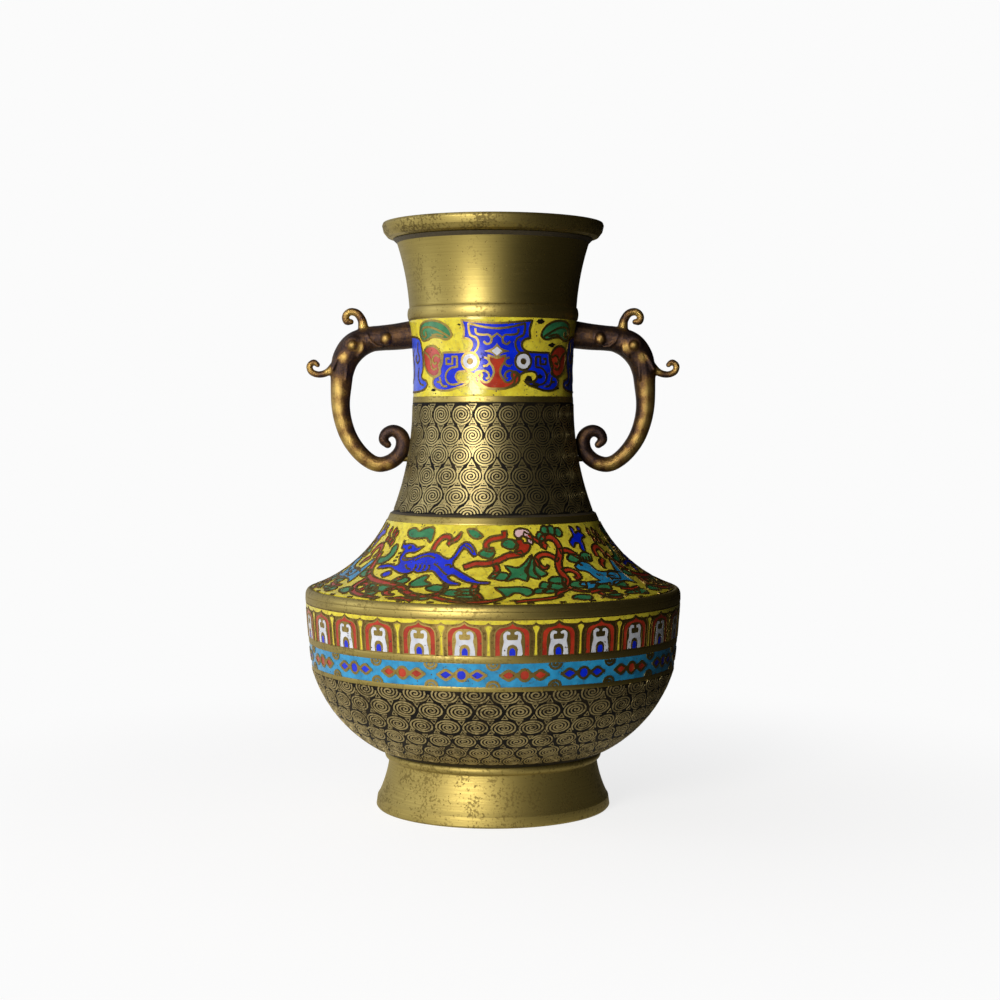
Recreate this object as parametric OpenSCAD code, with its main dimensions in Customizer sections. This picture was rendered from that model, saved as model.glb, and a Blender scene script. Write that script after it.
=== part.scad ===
// Two-handled champleve vase: cast brass sections, soldered one on the other, with enamel fired
// into channels in the metal, and a pair of cast beast-head handles riveted to the neck.
// Millimetres, +Z up. The origin is the centre of the foot's resting plane, +X runs across the
// handles and the front mask faces -Y.

/* [Heights of the castings] */
// Height of the foot ring, with the bead at its top
foot_h = 29; // [23:0.5:36]
// Height of the bowl
bowl_h = 42.4; // [34:0.2:52]
// Height of the shoulder, with the brass ring at its top
shoulder_h = 41.6; // [34:0.2:50]
// Height of the spiral-cast stretch of the neck
neck_spiral_h = 56.7; // [46:0.1:70]
// Height of the enamelled band on the neck
neck_band_h = 39; // [32:0.5:48]
// Height of the collar ring
collar_h = 6.2; // [5:0.2:8]
// Height of the mouth cup
cup_h = 35.5; // [28:0.5:44]
// Height of the lip ring
lip_h = 8.5; // [7:0.5:11]

/* [Bands of the drum] */
// Height of the brass ring under the belt
ring_low_h = 2.3; // [1.8:0.1:3]
// Height of the turquoise belt
belt_h = 11.1; // [9:0.1:14]
// Height of the brass ring between belt and lappets
ring_mid_h = 3.3; // [2.6:0.1:4]
// Height of the lappet band
lappet_h = 17.6; // [14:0.1:22]
// Height of the ridge, from the lappets to the drum's top joint
ridge_h = 3.3; // [2.6:0.1:4]

/* [Radii] */
// Radius of the foot where it rests
foot_r = 60.2; // [50:0.1:72]
// Radius of the foot's waist
foot_waist_r = 53.5; // [51:0.1:58]
// Radius of the bowl where it leaves the foot
bowl_low_r = 56.6; // [54:0.1:66]
// Radius of the drum at its bottom joint
drum_low_r = 93.2; // [78:0.1:111]
// Radius of the ridge, the widest ring of the body
ridge_r = 96.7; // [81:0.1:115]
// Radius of the shoulder at its top
shoulder_top_r = 53.2; // [50:0.1:58]
// Radius of the neck at its bottom joint
neck_low_r = 51.9; // [49:0.1:53]
// Radius of the neck between spirals and enamel
neck_waist_r = 41.6; // [35:0.1:48]
// Radius of the neck under the collar
neck_top_r = 43.6; // [36.5:0.1:50]
// Radius of the cup's rim
cup_top_r = 50.3; // [46:0.1:58]
// Radius of the lip
lip_r = 57.4; // [54:0.1:68]

/* [Metal and enamel] */
// Wall of the castings
wall = 2.8; // [2.4:0.1:3.4]
// Depth of the channels that hold the enamel
channel = 1; // [0.8:0.1:1.2]
// Thickness of the coloured enamel over the base enamel
colour_t = 0.4; // [0.3:0.05:0.5]
// Length of the spigot that enters the casting below
spigot_h = 4; // [3:0.2:5]
// Radial clearance between a spigot and its register
fit = 0.05; // [0.03:0.01:0.15]
// Thickness of the base plate
base_t = 2; // [1.6:0.1:2.6]

/* [Ornament] */
// Lappets round the drum
lappet_count = 27; // [22:1:32]
// Angle by which the lappets are turned from the middle
lappet_turn = 5.4; // [-6:0.1:6]
// Motifs round the belt, red and blue by turns
belt_count = 20; // [16:2:24]
// Times the beasts and vines repeat round the shoulder
beast_count = 3; // [2:1:3]
// Angle by which the masks are turned from the middle
mask_turn = 2.7; // [-5:0.1:5]
// Size of the masks, 1 when each is 75 mm across
mask_scale = 1; // [0.8:0.02:1.02]

/* [Handles] */
// Height between a handle's two fixings
handle_drop = 64; // [52:1:76]
// Distance of a handle's trunk from the neck
handle_reach = 35.3; // [31:0.1:42.5]
// Half thickness of a handle at its root
handle_root_r = 6.8; // [5.6:0.1:8]
// Half thickness of a handle through the beast's head
head_r = 6.2; // [5.2:0.1:7.4]
// Half thickness of a handle's tail
tail_r = 4.1; // [3.4:0.1:4.9]
// Radius of the upper rivets
rivet_r = 2; // [1.6:0.1:2.6]
// Radius of the lower rivets
tail_rivet_r = 1.5; // [1.2:0.1:2]
// Radial clearance between a rivet and its holes
rivet_fit = 0.05; // [0.03:0.01:0.1]

/* [Hidden] */
$fn = 96;

// Colours
brass = "#A68A45";
aged_brass = "#7D6A3A";
patina = "#3B2E2B";
solder_grey = "#8C8A84";
yellow = "#E6DC3C";
cobalt = "#0A2FD2";
red = "#BE3C28";
green = "#3E8E5A";
turquoise = "#35A6DC";
white = "#D9DCE3";
pendant_blue = "#4A6BE0";

// Small fixed sizes of the castings
neck_ring_h = 3;
rim_h = 0.5;
shoulder_ring_h = 3.5;
shoulder_brow_h = 3.5;
brow_in = 2.4;
edge = 0.6;
ledge_w = 3.5;
foot_band_h = 6.8;
foot_band_in = 1.6;
foot_bead_h = 4.5;
foot_bead_step = 0.6;
foot_bead_out = 1.4;
collar_out = 0.6;
spigot_t = wall / 2;

// Heights of the joints between castings
z_bowl = foot_h;
z_drum = z_bowl + bowl_h;
z_belt = z_drum + ring_low_h;
z_ring = z_belt + belt_h;
z_lappet = z_ring + ring_mid_h;
z_ridge = z_lappet + lappet_h;
z_shoulder = z_ridge + ridge_h;
z_neck = z_shoulder + shoulder_h;
z_band = z_neck + neck_spiral_h;
z_collar = z_band + neck_ring_h + neck_band_h + rim_h;
z_cup = z_collar + collar_h;
z_lip = z_cup + cup_h;
z_top = z_lip + lip_h;

// Bulge of each outline: how far it stands out from, or hollows in behind, the straight line
foot_bulge = -0.7;
bowl_bulge = 6;
drum_bulge = 0.4;
shoulder_bulge = -6;
spiral_bulge = -2.7;
band_bulge = -1.2;
cup_bulge = -1.2;

// Points along a circular arc from p to q, read as radius and height, that stands out by bulge
function reversed(list) = [for (i = [len(list) - 1:-1:0]) list[i]];
function arc_radius(p, q, bulge) = (pow(norm(q - p), 2) / 4 + bulge * bulge) / (2 * abs(bulge));
function arc_centre(p, q, bulge) =
    let (along = (q - p) / norm(q - p), out = [along.y, -along.x])
    (p + q) / 2 - out * sign(bulge) * (arc_radius(p, q, bulge) - abs(bulge));
function radius_at(p, q, bulge, z) =
    let (c = arc_centre(p, q, bulge), big = arc_radius(p, q, bulge))
    c.x + sign(bulge) * sqrt(big * big - pow(z - c.y, 2));
function outline(p, q, bulge, za, zb, steps) =
    [for (i = [0:steps]) let (z = za + (zb - za) * i / steps) [radius_at(p, q, bulge, z), z]];

// The same outline moved into the metal by a depth, square to the surface
function inset(path, depth) =
    [for (i = [0:len(path) - 1])
        let (a = path[max(i - 1, 0)], b = path[min(i + 1, len(path) - 1)])
        let (along = (b - a) / norm(b - a))
        path[i] - depth * [along.y, -along.x]];
function between(path, za, zb) = [for (p = path) if (p.y > za && p.y < zb) p];

// Ends of each casting's outline
foot_top = [foot_waist_r, foot_h - foot_bead_h];
foot_rim = [foot_r - foot_band_in, foot_band_h];
bowl_a = [bowl_low_r, z_bowl];
bowl_b = [drum_low_r, z_drum];
drum_b = [ridge_r, z_shoulder];
shoulder_a = [ridge_r - brow_in, z_shoulder + shoulder_brow_h];
shoulder_b = [shoulder_top_r, z_neck];
neck_a = [neck_low_r, z_neck];
neck_b = [neck_waist_r, z_band];
band_b = [neck_top_r, z_collar];
cup_a = [neck_top_r - 0.3, z_cup];
cup_b = [cup_top_r, z_lip];

function foot_line() = outline(foot_rim, foot_top, foot_bulge, foot_rim.y, foot_top.y, 8);
function bowl_line(za, zb) = outline(bowl_a, bowl_b, bowl_bulge, za, zb, 16);
function drum_line(za, zb) = outline(bowl_b, drum_b, drum_bulge, za, zb, 1);
function shoulder_line(za, zb) = outline(shoulder_a, shoulder_b, shoulder_bulge, za, zb, 10);
function neck_line(za, zb) = outline(neck_a, neck_b, spiral_bulge, za, zb, 14);
function band_line(za, zb) = outline(neck_b, band_b, band_bulge, za, zb, 8);
function cup_line(za, zb) = outline(cup_a, cup_b, cup_bulge, za, zb, 8);

// Enamelled stretches of the outline
belt_path = drum_line(z_belt, z_ring);
lappet_path = drum_line(z_lappet, z_ridge);
shoulder_path = shoulder_line(shoulder_a.y + rim_h, z_neck - shoulder_ring_h);
neck_path = band_line(z_band + neck_ring_h, z_collar - rim_h);

// Registers: the bore in each lower casting that takes the spigot of the one above
foot_register = foot_waist_r - 2.5;
bowl_register = radius_at(bowl_a, bowl_b, bowl_bulge, z_drum - spigot_h) - spigot_t;
drum_register = drum_low_r + (ridge_r - drum_low_r) * 0.9 - channel - spigot_t;
shoulder_register = min(neck_low_r, shoulder_top_r) - spigot_t;
collar_bore = neck_top_r - spigot_t;
lip_register = radius_at(cup_a, cup_b, cup_bulge, z_lip - spigot_h) - spigot_t;

// Places of the handles' fixings
root_z = z_collar - rim_h - handle_root_r - 0.2;
tail_z = root_z - handle_drop;
trunk_x = neck_top_r + handle_reach;
tail_x = radius_at(neck_a, neck_b, spiral_bulge, tail_z);
trunk_bend_r = 17;
tail_in_r = 11.6;
tail_curl_r = 4.6;
tail_in_x = tail_x + 1.9;
tail_low_x = tail_in_x + tail_in_r;
tail_low_z = tail_z - 3;
trunk_end_z = tail_low_z + trunk_x - tail_low_x;
crest_in = 12.4;
crest_r = 2.2;
crest_curl_r = 3.7;
snout_drop = 20;
snout_l = 14;
snout_r = 1.7;
snout_curl_r = 2.5;
eye_r = 2.7;
rivet_head_r = 3.4;
rivet_head_h = 1.4;

module turned(points) {
    rotate_extrude() polygon(points);
}

// Outside of a casting down a spigot: from the seat, down, and back up inside
function spigot_down(register, z) = [
    [register - fit - spigot_t, z + edge],
    [register - fit - spigot_t, z - spigot_h],
    [register - fit, z - spigot_h],
    [register - fit, z],
];

// Inside of a casting's mouth that takes a spigot, from its rim down to the step
function register_top(register, z) = [
    [register, z],
    [register, z - spigot_h - fit],
    [register - spigot_t, z - spigot_h - fit],
];

// ---- Foot ----

module foot_ring() {
    bead_low = [foot_waist_r + foot_bead_step, z_bowl - foot_bead_h];
    bead_top = [foot_waist_r + 2 * foot_bead_step, z_bowl];
    bead = outline(bead_low, bead_top, foot_bead_out, bead_low.y, bead_top.y, 8);
    plate_z = z_bowl - spigot_h - fit - base_t;
    color(brass) turned(concat(
        [[foot_r - wall - edge, 0], [foot_r - edge, 0], [foot_r, edge]],
        foot_line(),
        bead,
        [
            [foot_register, z_bowl],
            [foot_register, plate_z],
            [foot_register - ledge_w, plate_z],
            [foot_register - ledge_w, plate_z - base_t],
            [foot_register - 0.5, plate_z - base_t - ledge_w],
        ]
    ));
}

// The plate that closes the body, held on the foot's ledge by the bowl's spigot
module base_plate() {
    color(aged_brass)
        translate([0, 0, z_bowl - spigot_h - fit - base_t])
            cylinder(r = foot_register - fit, h = base_t);
}

// Fillet of soft solder under the plate
module base_solder() {
    z = z_bowl - spigot_h - fit - base_t;
    r = foot_register - ledge_w;
    color(solder_grey) turned([[r, z], [r - 2, z], [r, z - 1.8]]);
}

// ---- Body ----

module bowl_casting() {
    outer = bowl_line(z_bowl, z_drum);
    inner = between(inset(outer, wall), z_bowl + wall, z_drum - spigot_h - edge);
    color(aged_brass) turned(concat(
        outer,
        register_top(bowl_register, z_drum),
        reversed(inner),
        spigot_down(foot_register, z_bowl)
    ));
}

// A stretch of casting whose channel is left open for enamel
function channelled(path) = inset(path, channel);

module drum_casting() {
    inner_r = drum_low_r - wall;
    color(brass) turned(concat(
        [[drum_low_r, z_drum]],
        [belt_path[0]],
        channelled(belt_path),
        [belt_path[len(belt_path) - 1], lappet_path[0]],
        channelled(lappet_path),
        [lappet_path[len(lappet_path) - 1]],
        [[ridge_r, z_ridge + edge], [ridge_r, z_shoulder]],
        register_top(drum_register, z_shoulder),
        [[inner_r, z_shoulder - spigot_h - 2 * edge], [inner_r, z_drum + 3 * edge]],
        spigot_down(bowl_register, z_drum)
    ));
}

module shoulder_casting() {
    skin = shoulder_line(shoulder_a.y, z_neck);
    under = between(inset(skin, wall), z_shoulder + edge, z_neck - spigot_h - edge);
    color(brass) turned(concat(
        [[ridge_r, z_shoulder], [ridge_r - edge, z_shoulder + shoulder_brow_h / 2], shoulder_a],
        [shoulder_path[0]],
        channelled(shoulder_path),
        [shoulder_path[len(shoulder_path) - 1]],
        [shoulder_b],
        register_top(shoulder_register, z_neck),
        reversed(under),
        spigot_down(drum_register, z_shoulder)
    ));
}

module neck_casting() {
    lower = neck_line(z_neck, z_band);
    inner = concat(
        between(inset(lower, wall), z_neck + edge, z_band),
        between(inset(band_line(z_band, z_collar), wall), z_band, z_collar - edge)
    );
    color(aged_brass) difference() {
        turned(concat(
            lower,
            [neck_path[0]],
            channelled(neck_path),
            [neck_path[len(neck_path) - 1]],
            [band_b],
            [[collar_bore - fit, z_collar]],
            [[collar_bore - fit, z_cup + spigot_h]],
            [[collar_bore - fit - spigot_t, z_cup + spigot_h]],
            reversed(inner),
            spigot_down(shoulder_register, z_neck)
        ));
        rivet_holes();
    }
}

module neck_solder() {
    leg = 1;
    top_r = radius_at(neck_a, neck_b, spiral_bulge, z_neck + leg);
    color(solder_grey)
        turned([[neck_low_r, z_neck], [neck_low_r + leg, z_neck], [top_r, z_neck + leg]]);
}

// ---- Mouth ----

module collar_ring() {
    edge_r = neck_top_r + 0.1;
    bead = outline([edge_r, z_collar], [edge_r, z_cup], collar_out, z_collar, z_cup, 8);
    color(brass) turned(concat(bead, [[collar_bore, z_cup], [collar_bore, z_collar]]));
}

module mouth_cup() {
    outer = cup_line(z_cup, z_lip);
    inner = between(inset(outer, wall), z_cup + spigot_h + 2 * edge, z_lip - spigot_h - 2 * edge);
    color(brass) turned(concat(
        outer,
        register_top(lip_register, z_lip),
        reversed(inner),
        [
            [collar_bore - spigot_t, z_cup + spigot_h + fit],
            [collar_bore, z_cup + spigot_h + fit],
            [collar_bore, z_cup],
        ]
    ));
}

module lip_ring() {
    under_r = cup_top_r + 0.6 * (lip_r - cup_top_r);
    inner_r = lip_register - fit - spigot_t;
    color(brass) turned(concat(
        [[cup_top_r, z_lip]],
        [[under_r, z_lip + 1.2], [lip_r - 0.8, z_lip + 3.7], [lip_r, z_top - 1.6]],
        [[lip_r - edge, z_top], [inner_r + 2, z_top], [inner_r, z_top - 2]],
        spigot_down(lip_register, z_lip)
    ));
}

module lip_solder() {
    r = radius_at(cup_a, cup_b, cup_bulge, z_lip - 2);
    color(solder_grey) turned([[r, z_lip - 2], [cup_top_r + 1.4, z_lip], [cup_top_r, z_lip]]);
}

// ---- Enamel ----

// Ring of enamel that lies on a channel's floor, from depth down to depth up
module enamel_ring(path, down, up) {
    turned(concat(inset(path, up), reversed(inset(path, down))));
}

module base_enamel(path) {
    enamel_ring(path, channel, colour_t);
}

// Children are drawn flat, x along the band and y up it, and set round it count times
module coloured_cells(path, count, turn) {
    r = path[0].x;
    intersection() {
        enamel_ring(path, colour_t, 0);
        for (k = [0:count - 1])
            rotate([0, 0, turn + 360 * k / count])
                translate([0, -0.3 * r, path[0].y])
                    rotate([90, 0, 0])
                        linear_extrude(r)
                            children();
    }
}

function disc(centre, r) = [for (a = [0:20:340]) centre + r * [cos(a), sin(a)]];

module belt_motif() {
    end_x = 7.4;
    half_l = 3.3;
    half_h = 1.7;
    y = belt_h / 2;
    polygon(disc([0, y], 2.1));
    for (s = [-1, 1])
        translate([s * end_x, y])
            polygon([[-half_l, 0], [0, -half_h], [half_l, 0], [0, half_h]]);
}

module belt_ground_enamel() {
    color(turquoise) base_enamel(belt_path);
}

module belt_motifs_red() {
    step = 360 / belt_count;
    color(red) coloured_cells(belt_path, belt_count / 2, step / 2) belt_motif();
}

module belt_motifs_blue() {
    step = 360 / belt_count;
    color(cobalt) coloured_cells(belt_path, belt_count / 2, 1.5 * step) belt_motif();
}

// Upper half of an arch, from its right springing over to its left, with a raised point
function arch(half_w, spring, rise, point) =
    [for (a = [0:15:180]) [half_w * cos(a), spring + rise * sin(a) + (a == 90 ? point : 0)]];

arch_w = 8.6;
arch_in = 5.9;

module lappet_arch() {
    spring = 0.55 * lappet_h;
    polygon(concat(
        [[arch_w, 0.4]],
        arch(arch_w, spring, 0.22 * lappet_h, 1.4),
        [[-arch_w, 0.4], [-arch_in, 0.4]],
        reversed(arch(arch_in, spring, 0.15 * lappet_h, 0)),
        [[arch_in, 0.4]]
    ));
}

module lappet_figure() {
    bar = 0.27 * lappet_h;
    for (s = [-1, 1])
        polygon([
            [0, bar], [s * 2.2, bar], [s * 2.6, 0.4], [s * 5, 0.4], [s * 4.4, 0.45 * lappet_h],
            [s * 4.6, 0.6 * lappet_h], [s * 3.2, 0.68 * lappet_h], [s * 1.4, 0.6 * lappet_h],
            [s * 3, 0.56 * lappet_h], [s * 2.6, 0.44 * lappet_h], [0, 0.44 * lappet_h],
        ]);
}

module lappet_door() {
    polygon(concat([[1.6, 0.4]], arch(1.6, 0.14 * lappet_h, 0.09 * lappet_h, 0), [[-1.6, 0.4]]));
}

module lappet_ground_enamel() {
    color(yellow) base_enamel(lappet_path);
}

module lappet_arches_red() {
    color(red) coloured_cells(lappet_path, lappet_count, lappet_turn) lappet_arch();
}

module lappet_figures_white() {
    color(white) coloured_cells(lappet_path, lappet_count, lappet_turn) lappet_figure();
}

module lappet_doors_blue() {
    color(cobalt) coloured_cells(lappet_path, lappet_count, lappet_turn) lappet_door();
}

// The shoulder is drawn flat too: x in millimetres along a circle of radius draft_r, and y
// as a share of the way up the enamel. Its cells are cut straight down, seen from above.
draft_r = 70;
function on_shoulder(p) =
    let (low = shoulder_path[0], high = shoulder_path[len(shoulder_path) - 1])
    let (r = low.x + (high.x - low.x) * p.y, a = p.x / draft_r * 180 / PI)
    [r * sin(a), -r * cos(a)];

module shoulder_cells() {
    intersection() {
        enamel_ring(shoulder_path, colour_t, 0);
        for (k = [0:beast_count - 1])
            rotate([0, 0, 360 * k / beast_count])
                translate([0, 0, z_shoulder])
                    linear_extrude(shoulder_h)
                        children();
    }
}

module cell(points) {
    polygon([for (p = points) on_shoulder(p)]);
}

// A curling stem of even width along a line of points
module stem(points, width) {
    last = len(points) - 1;
    sides = [for (i = [0:last])
        let (along = points[min(i + 1, last)] - points[max(i - 1, 0)])
        let (flat = [along.x, along.y * 56])
        let (side = [-flat.y, flat.x] / norm(flat) * width / 2)
        [side.x, side.y / 56]];
    cell(concat(
        [for (i = [0:last]) points[i] + sides[i]],
        [for (i = [last:-1:0]) points[i] - sides[i]]
    ));
}

module blue_beast() {
    cell([
        [-59, 0.83], [-53, 0.76], [-47, 0.79], [-41, 0.76], [-46, 0.68], [-41, 0.66], [-34, 0.68],
        [-27, 0.66], [-20, 0.66], [-18, 0.76], [-14, 0.83], [-17, 0.72], [-16, 0.58], [-10, 0.48],
        [-4, 0.42], [-9, 0.39], [-16, 0.44], [-22, 0.5], [-16, 0.37], [-20, 0.35], [-28, 0.45],
        [-40, 0.52], [-47, 0.46], [-56, 0.48], [-62, 0.5], [-52, 0.52], [-48, 0.56], [-53, 0.66],
    ]);
}

module turquoise_beast() {
    cell([
        [43, 0.52], [50, 0.6], [57, 0.57], [56, 0.48], [62, 0.46], [70, 0.5], [78, 0.46],
        [82, 0.52], [84, 0.42], [78, 0.34], [80, 0.22], [74, 0.24], [68, 0.32], [60, 0.3],
        [50, 0.24], [41, 0.26], [42, 0.3], [52, 0.36], [51, 0.44], [46, 0.46],
    ]);
}

module shoulder_ground_enamel() {
    color(yellow) base_enamel(shoulder_path);
}

module shoulder_beasts_blue() {
    color(cobalt) shoulder_cells() blue_beast();
}

module shoulder_beasts_turquoise() {
    color(turquoise) shoulder_cells() turquoise_beast();
}

module shoulder_vines_red() {
    color(red) shoulder_cells() {
        stem([[-74, 0.62], [-68, 0.44], [-60, 0.33], [-50, 0.29], [-40, 0.3], [-33, 0.2]], 2.6);
        stem([[-14, 0.56], [-4, 0.6], [4, 0.66], [14, 0.7], [22, 0.68]], 2.6);
        stem([[-35, 0.74], [-32, 0.86], [-26, 0.88], [-25, 0.8]], 2.4);
        stem([[28, 0.72], [34, 0.8], [42, 0.68], [50, 0.68]], 2.6);
        stem([[34, 0.6], [38, 0.48], [33, 0.38], [31, 0.2]], 2.6);
    }
}

module shoulder_leaves_green() {
    color(green) shoulder_cells() {
        cell([
            [6, 0.54], [12, 0.53], [20, 0.7], [21, 0.5], [24, 0.42], [16, 0.42], [13, 0.36], [9, 0.38],
        ]);
        cell([[3, 0.28], [10, 0.3], [17, 0.28], [15, 0.18], [6, 0.18]]);
        cell([[27, 0.88], [33, 0.93], [42, 0.92], [40, 0.86], [30, 0.83]]);
        cell([[-56, 0.87], [-46, 0.92], [-38, 0.9], [-42, 0.82], [-50, 0.82]]);
        cell([[-36, 0.4], [-32, 0.44], [-28, 0.36], [-32, 0.3]]);
    }
}

// Masks on the neck: x is drawn along the band and laid onto its curve
function on_neck(p) = let (s = mask_scale, a = p.x * s / neck_waist_r * 180 / PI)
    [neck_waist_r * sin(a), p.y * neck_band_h / 39];

module mask_cell(points) {
    polygon([for (p = points) on_neck(p)]);
}

module mask_head() {
    half = [
        [0, 36.2], [8, 36.6], [16.5, 37.6], [16.2, 33], [16.8, 29], [13.4, 28], [12.6, 25.5],
        [15, 22.5], [28.4, 21.8], [29, 17], [33, 10.5], [36.3, 9], [36.3, 5.5], [33, 3.2],
        [26, 2.8], [21.5, 4.6], [27, 8], [26.5, 11], [22, 12.8], [12.5, 11], [9.5, 13],
        [5, 11], [0, 12],
    ];
    difference() {
        mask_cell(concat(half, [for (p = reversed(half)) if (p.x > 0) [-p.x, p.y]]));
        mask_cell([[0, 27], [5, 22.5], [3.6, 20], [0, 18.5], [-3.6, 20], [-5, 22.5]]);
        for (s = [-1, 1]) mask_cell(disc([s * 13.2, 17.2], 4.4));
    }
}

module mask_red() {
    half = [
        [0, 17.8], [3, 18], [1.6, 12], [3.4, 8], [6, 6.6],
        [10, 10], [12, 9], [9.5, 5.2], [5, 3.2], [0, 2.8],
    ];
    mask_cell(concat(half, [for (p = reversed(half)) if (p.x > 0) [-p.x, p.y]]));
    for (s = [-1, 1])
        mask_cell([
            [s * 31, 21.5], [s * 33, 25], [s * 41, 25], [s * 43, 20], [s * 41, 13.5],
            [s * 36, 10.8], [s * 33.4, 12.4], [s * 31, 17],
        ]);
}

module mask_white() {
    mask_cell([[0, 25.2], [3.6, 22.3], [0, 19.6], [-3.6, 22.3]]);
    for (s = [-1, 1]) mask_cell(disc([s * 13.2, 17.2], 3.6));
}

module mask_horns() {
    for (s = [-1, 1])
        mask_cell([
            [s * 23.5, 30], [s * 25, 34], [s * 33, 37.5], [s * 41, 36.6], [s * 45, 32],
            [s * 42, 28.4], [s * 36, 30], [s * 28, 29],
        ]);
}

// The broad lobed shape under each handle
module pendant() {
    half = [
        [0, 30.5], [10, 30.5], [18.5, 29], [20.5, 24], [20.7, 16], [18.8, 10], [20.5, 8.5],
        [23.5, 7.5], [24.6, 6], [22.5, 3.8], [14, 2.4], [0, 2.4],
    ];
    mask_cell(concat(half, [for (p = reversed(half)) if (p.x > 0) [-p.x, p.y]]));
}

module neck_cells(count, turn) {
    intersection() {
        coloured_cells(neck_path, count, turn) children();
        root_clearance();
    }
}

// Everything but the round patches where the handles' roots stand on the metal
module root_clearance() {
    difference() {
        translate([0, 0, z_neck]) cylinder(r = ridge_r, h = z_top - z_neck);
        for (s = [-1, 1])
            translate([0, 0, root_z])
                rotate([0, 90 * s, 0])
                    cylinder(r = handle_root_r + fit, h = ridge_r);
    }
}

module neck_ground_enamel() {
    color(yellow) intersection() {
        base_enamel(neck_path);
        root_clearance();
    }
}

module neck_masks_blue() {
    color(cobalt) coloured_cells(neck_path, 2, mask_turn) mask_head();
}

module neck_masks_red() {
    color(red) coloured_cells(neck_path, 2, mask_turn) mask_red();
}

module neck_masks_white() {
    color(white) coloured_cells(neck_path, 2, mask_turn) mask_white();
}

module neck_horns_green() {
    color(green) coloured_cells(neck_path, 2, mask_turn) mask_horns();
}

module neck_pendants_blue() {
    color(pendant_blue) neck_cells(2, 90 + mask_turn) pendant();
}

// ---- Handles ----

// A quarter, half or other part of a ring of round bar, standing in the plane of the handle.
// Angles run from outwards, 0, to upwards, 90.
module bend(x, z, bend_r, bar_r, from, sweep) {
    translate([x, 0, z])
        rotate([90, 0, 0])
            rotate([0, 0, from])
                rotate_extrude(angle = sweep)
                    translate([bend_r, 0])
                        circle(r = bar_r);
}

module knob(x, z, r) {
    translate([x, 0, z]) sphere(r = r);
}

// The beast's neck leaves the vase level and bends down into the trunk
module handle_trunk() {
    bend_z = root_z - trunk_bend_r;
    bend_x = trunk_x - trunk_bend_r;
    handle_lug(root_z, neck_waist_r, handle_root_r, 5);
    translate([neck_waist_r + 5, 0, root_z])
        rotate([0, 90, 0])
            cylinder(r1 = handle_root_r, r2 = head_r, h = bend_x - neck_waist_r - 5);
    bend(bend_x, bend_z, trunk_bend_r, head_r, 0, 90);
    translate([trunk_x, 0, trunk_end_z])
        cylinder(r1 = tail_r, r2 = head_r, h = bend_z - trunk_end_z);
}

// The tail sweeps in under the trunk, comes up against the neck and curls over
module handle_tail() {
    curl_z = tail_low_z + tail_in_r;
    bend(tail_low_x, trunk_end_z, trunk_x - tail_low_x, tail_r, 270, 90);
    bend(tail_low_x, curl_z, tail_in_r, tail_r, 180, 90);
    knob(tail_in_x, curl_z, tail_r);
    bend(tail_in_x + tail_curl_r, curl_z, tail_curl_r, tail_r - 1, 0, 180);
    knob(tail_in_x + 2 * tail_curl_r, curl_z, tail_r - 1);
    handle_lug(tail_z, tail_x, 3.6, 5);
}

// The crest rises from the brow and rolls outwards
module handle_crest() {
    foot_x = trunk_x - crest_in;
    curl_z = root_z + head_r + crest_r;
    translate([foot_x, 0, root_z - 3]) cylinder(r = crest_r, h = curl_z - root_z + 3);
    bend(foot_x + crest_curl_r, curl_z, crest_curl_r, crest_r, 0, 180);
    knob(foot_x + 2 * crest_curl_r, curl_z, crest_r + 0.2);
}

// The snout reaches out from the bend and rolls up
module handle_snout() {
    curl_x = trunk_x + snout_l;
    low_z = root_z - snout_drop;
    translate([trunk_x, 0, low_z])
        rotate([0, 90, 0])
            cylinder(r1 = snout_r + 1.4, r2 = snout_r, h = snout_l);
    bend(curl_x, low_z + snout_curl_r, snout_curl_r, snout_r, -95, 275);
    knob(curl_x - snout_curl_r, low_z + snout_curl_r, snout_r);
}

module eye(x, z, side) {
    translate([x, side * (head_r - 0.8), z]) sphere(r = eye_r);
}

module handle() {
    difference() {
        union() {
            handle_trunk();
            handle_tail();
            handle_crest();
            handle_snout();
            for (s = [-1, 1]) {
                eye(trunk_x - 23.8, root_z - 2.2, s);
                eye(trunk_x - 6.6, root_z - 5.5, s);
            }
        }
        neck_core();
        rivet_bore(root_z, rivet_r, neck_top_r + 10);
        rivet_bore(tail_z, tail_rivet_r, tail_x + 5);
    }
}

// Round foot of a handle where it stands on the neck
module handle_lug(z, r, lug_r, length) {
    translate([r - wall, 0, z])
        rotate([0, 90, 0])
            cylinder(r = lug_r, h = length + wall);
}

// The neck's outside, down to the floor of its channel, as a solid
module neck_core() {
    turned(concat(
        [[0, z_neck]],
        neck_line(z_neck, z_band),
        channelled(band_line(z_band, z_collar)),
        [[0, z_collar]]
    ));
}

module rivet_bore(z, r, reach) {
    translate([0, 0, z])
        rotate([0, 90, 0])
            cylinder(r = r + rivet_fit, h = reach);
}

module rivet_holes() {
    for (s = [0, 1])
        mirror([s, 0, 0]) {
            rivet_bore(root_z, rivet_r, lip_r);
            rivet_bore(tail_z, tail_rivet_r, lip_r);
        }
}

module handle_right() {
    color(patina) handle();
}

module handle_left() {
    color(patina) mirror([1, 0, 0]) handle();
}

// One rivet: a shank through the wall and a head drawn down inside the neck
module rivet(z, r, inner_r, tip) {
    seat = sqrt(inner_r * inner_r - rivet_head_r * rivet_head_r) - 0.6;
    translate([0, 0, z])
        rotate([0, 90, 0]) {
            translate([0, 0, seat]) cylinder(r = r, h = tip - seat);
            translate([0, 0, seat - rivet_head_h])
                cylinder(r1 = rivet_head_r - 1, r2 = rivet_head_r, h = rivet_head_h);
        }
}

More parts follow.
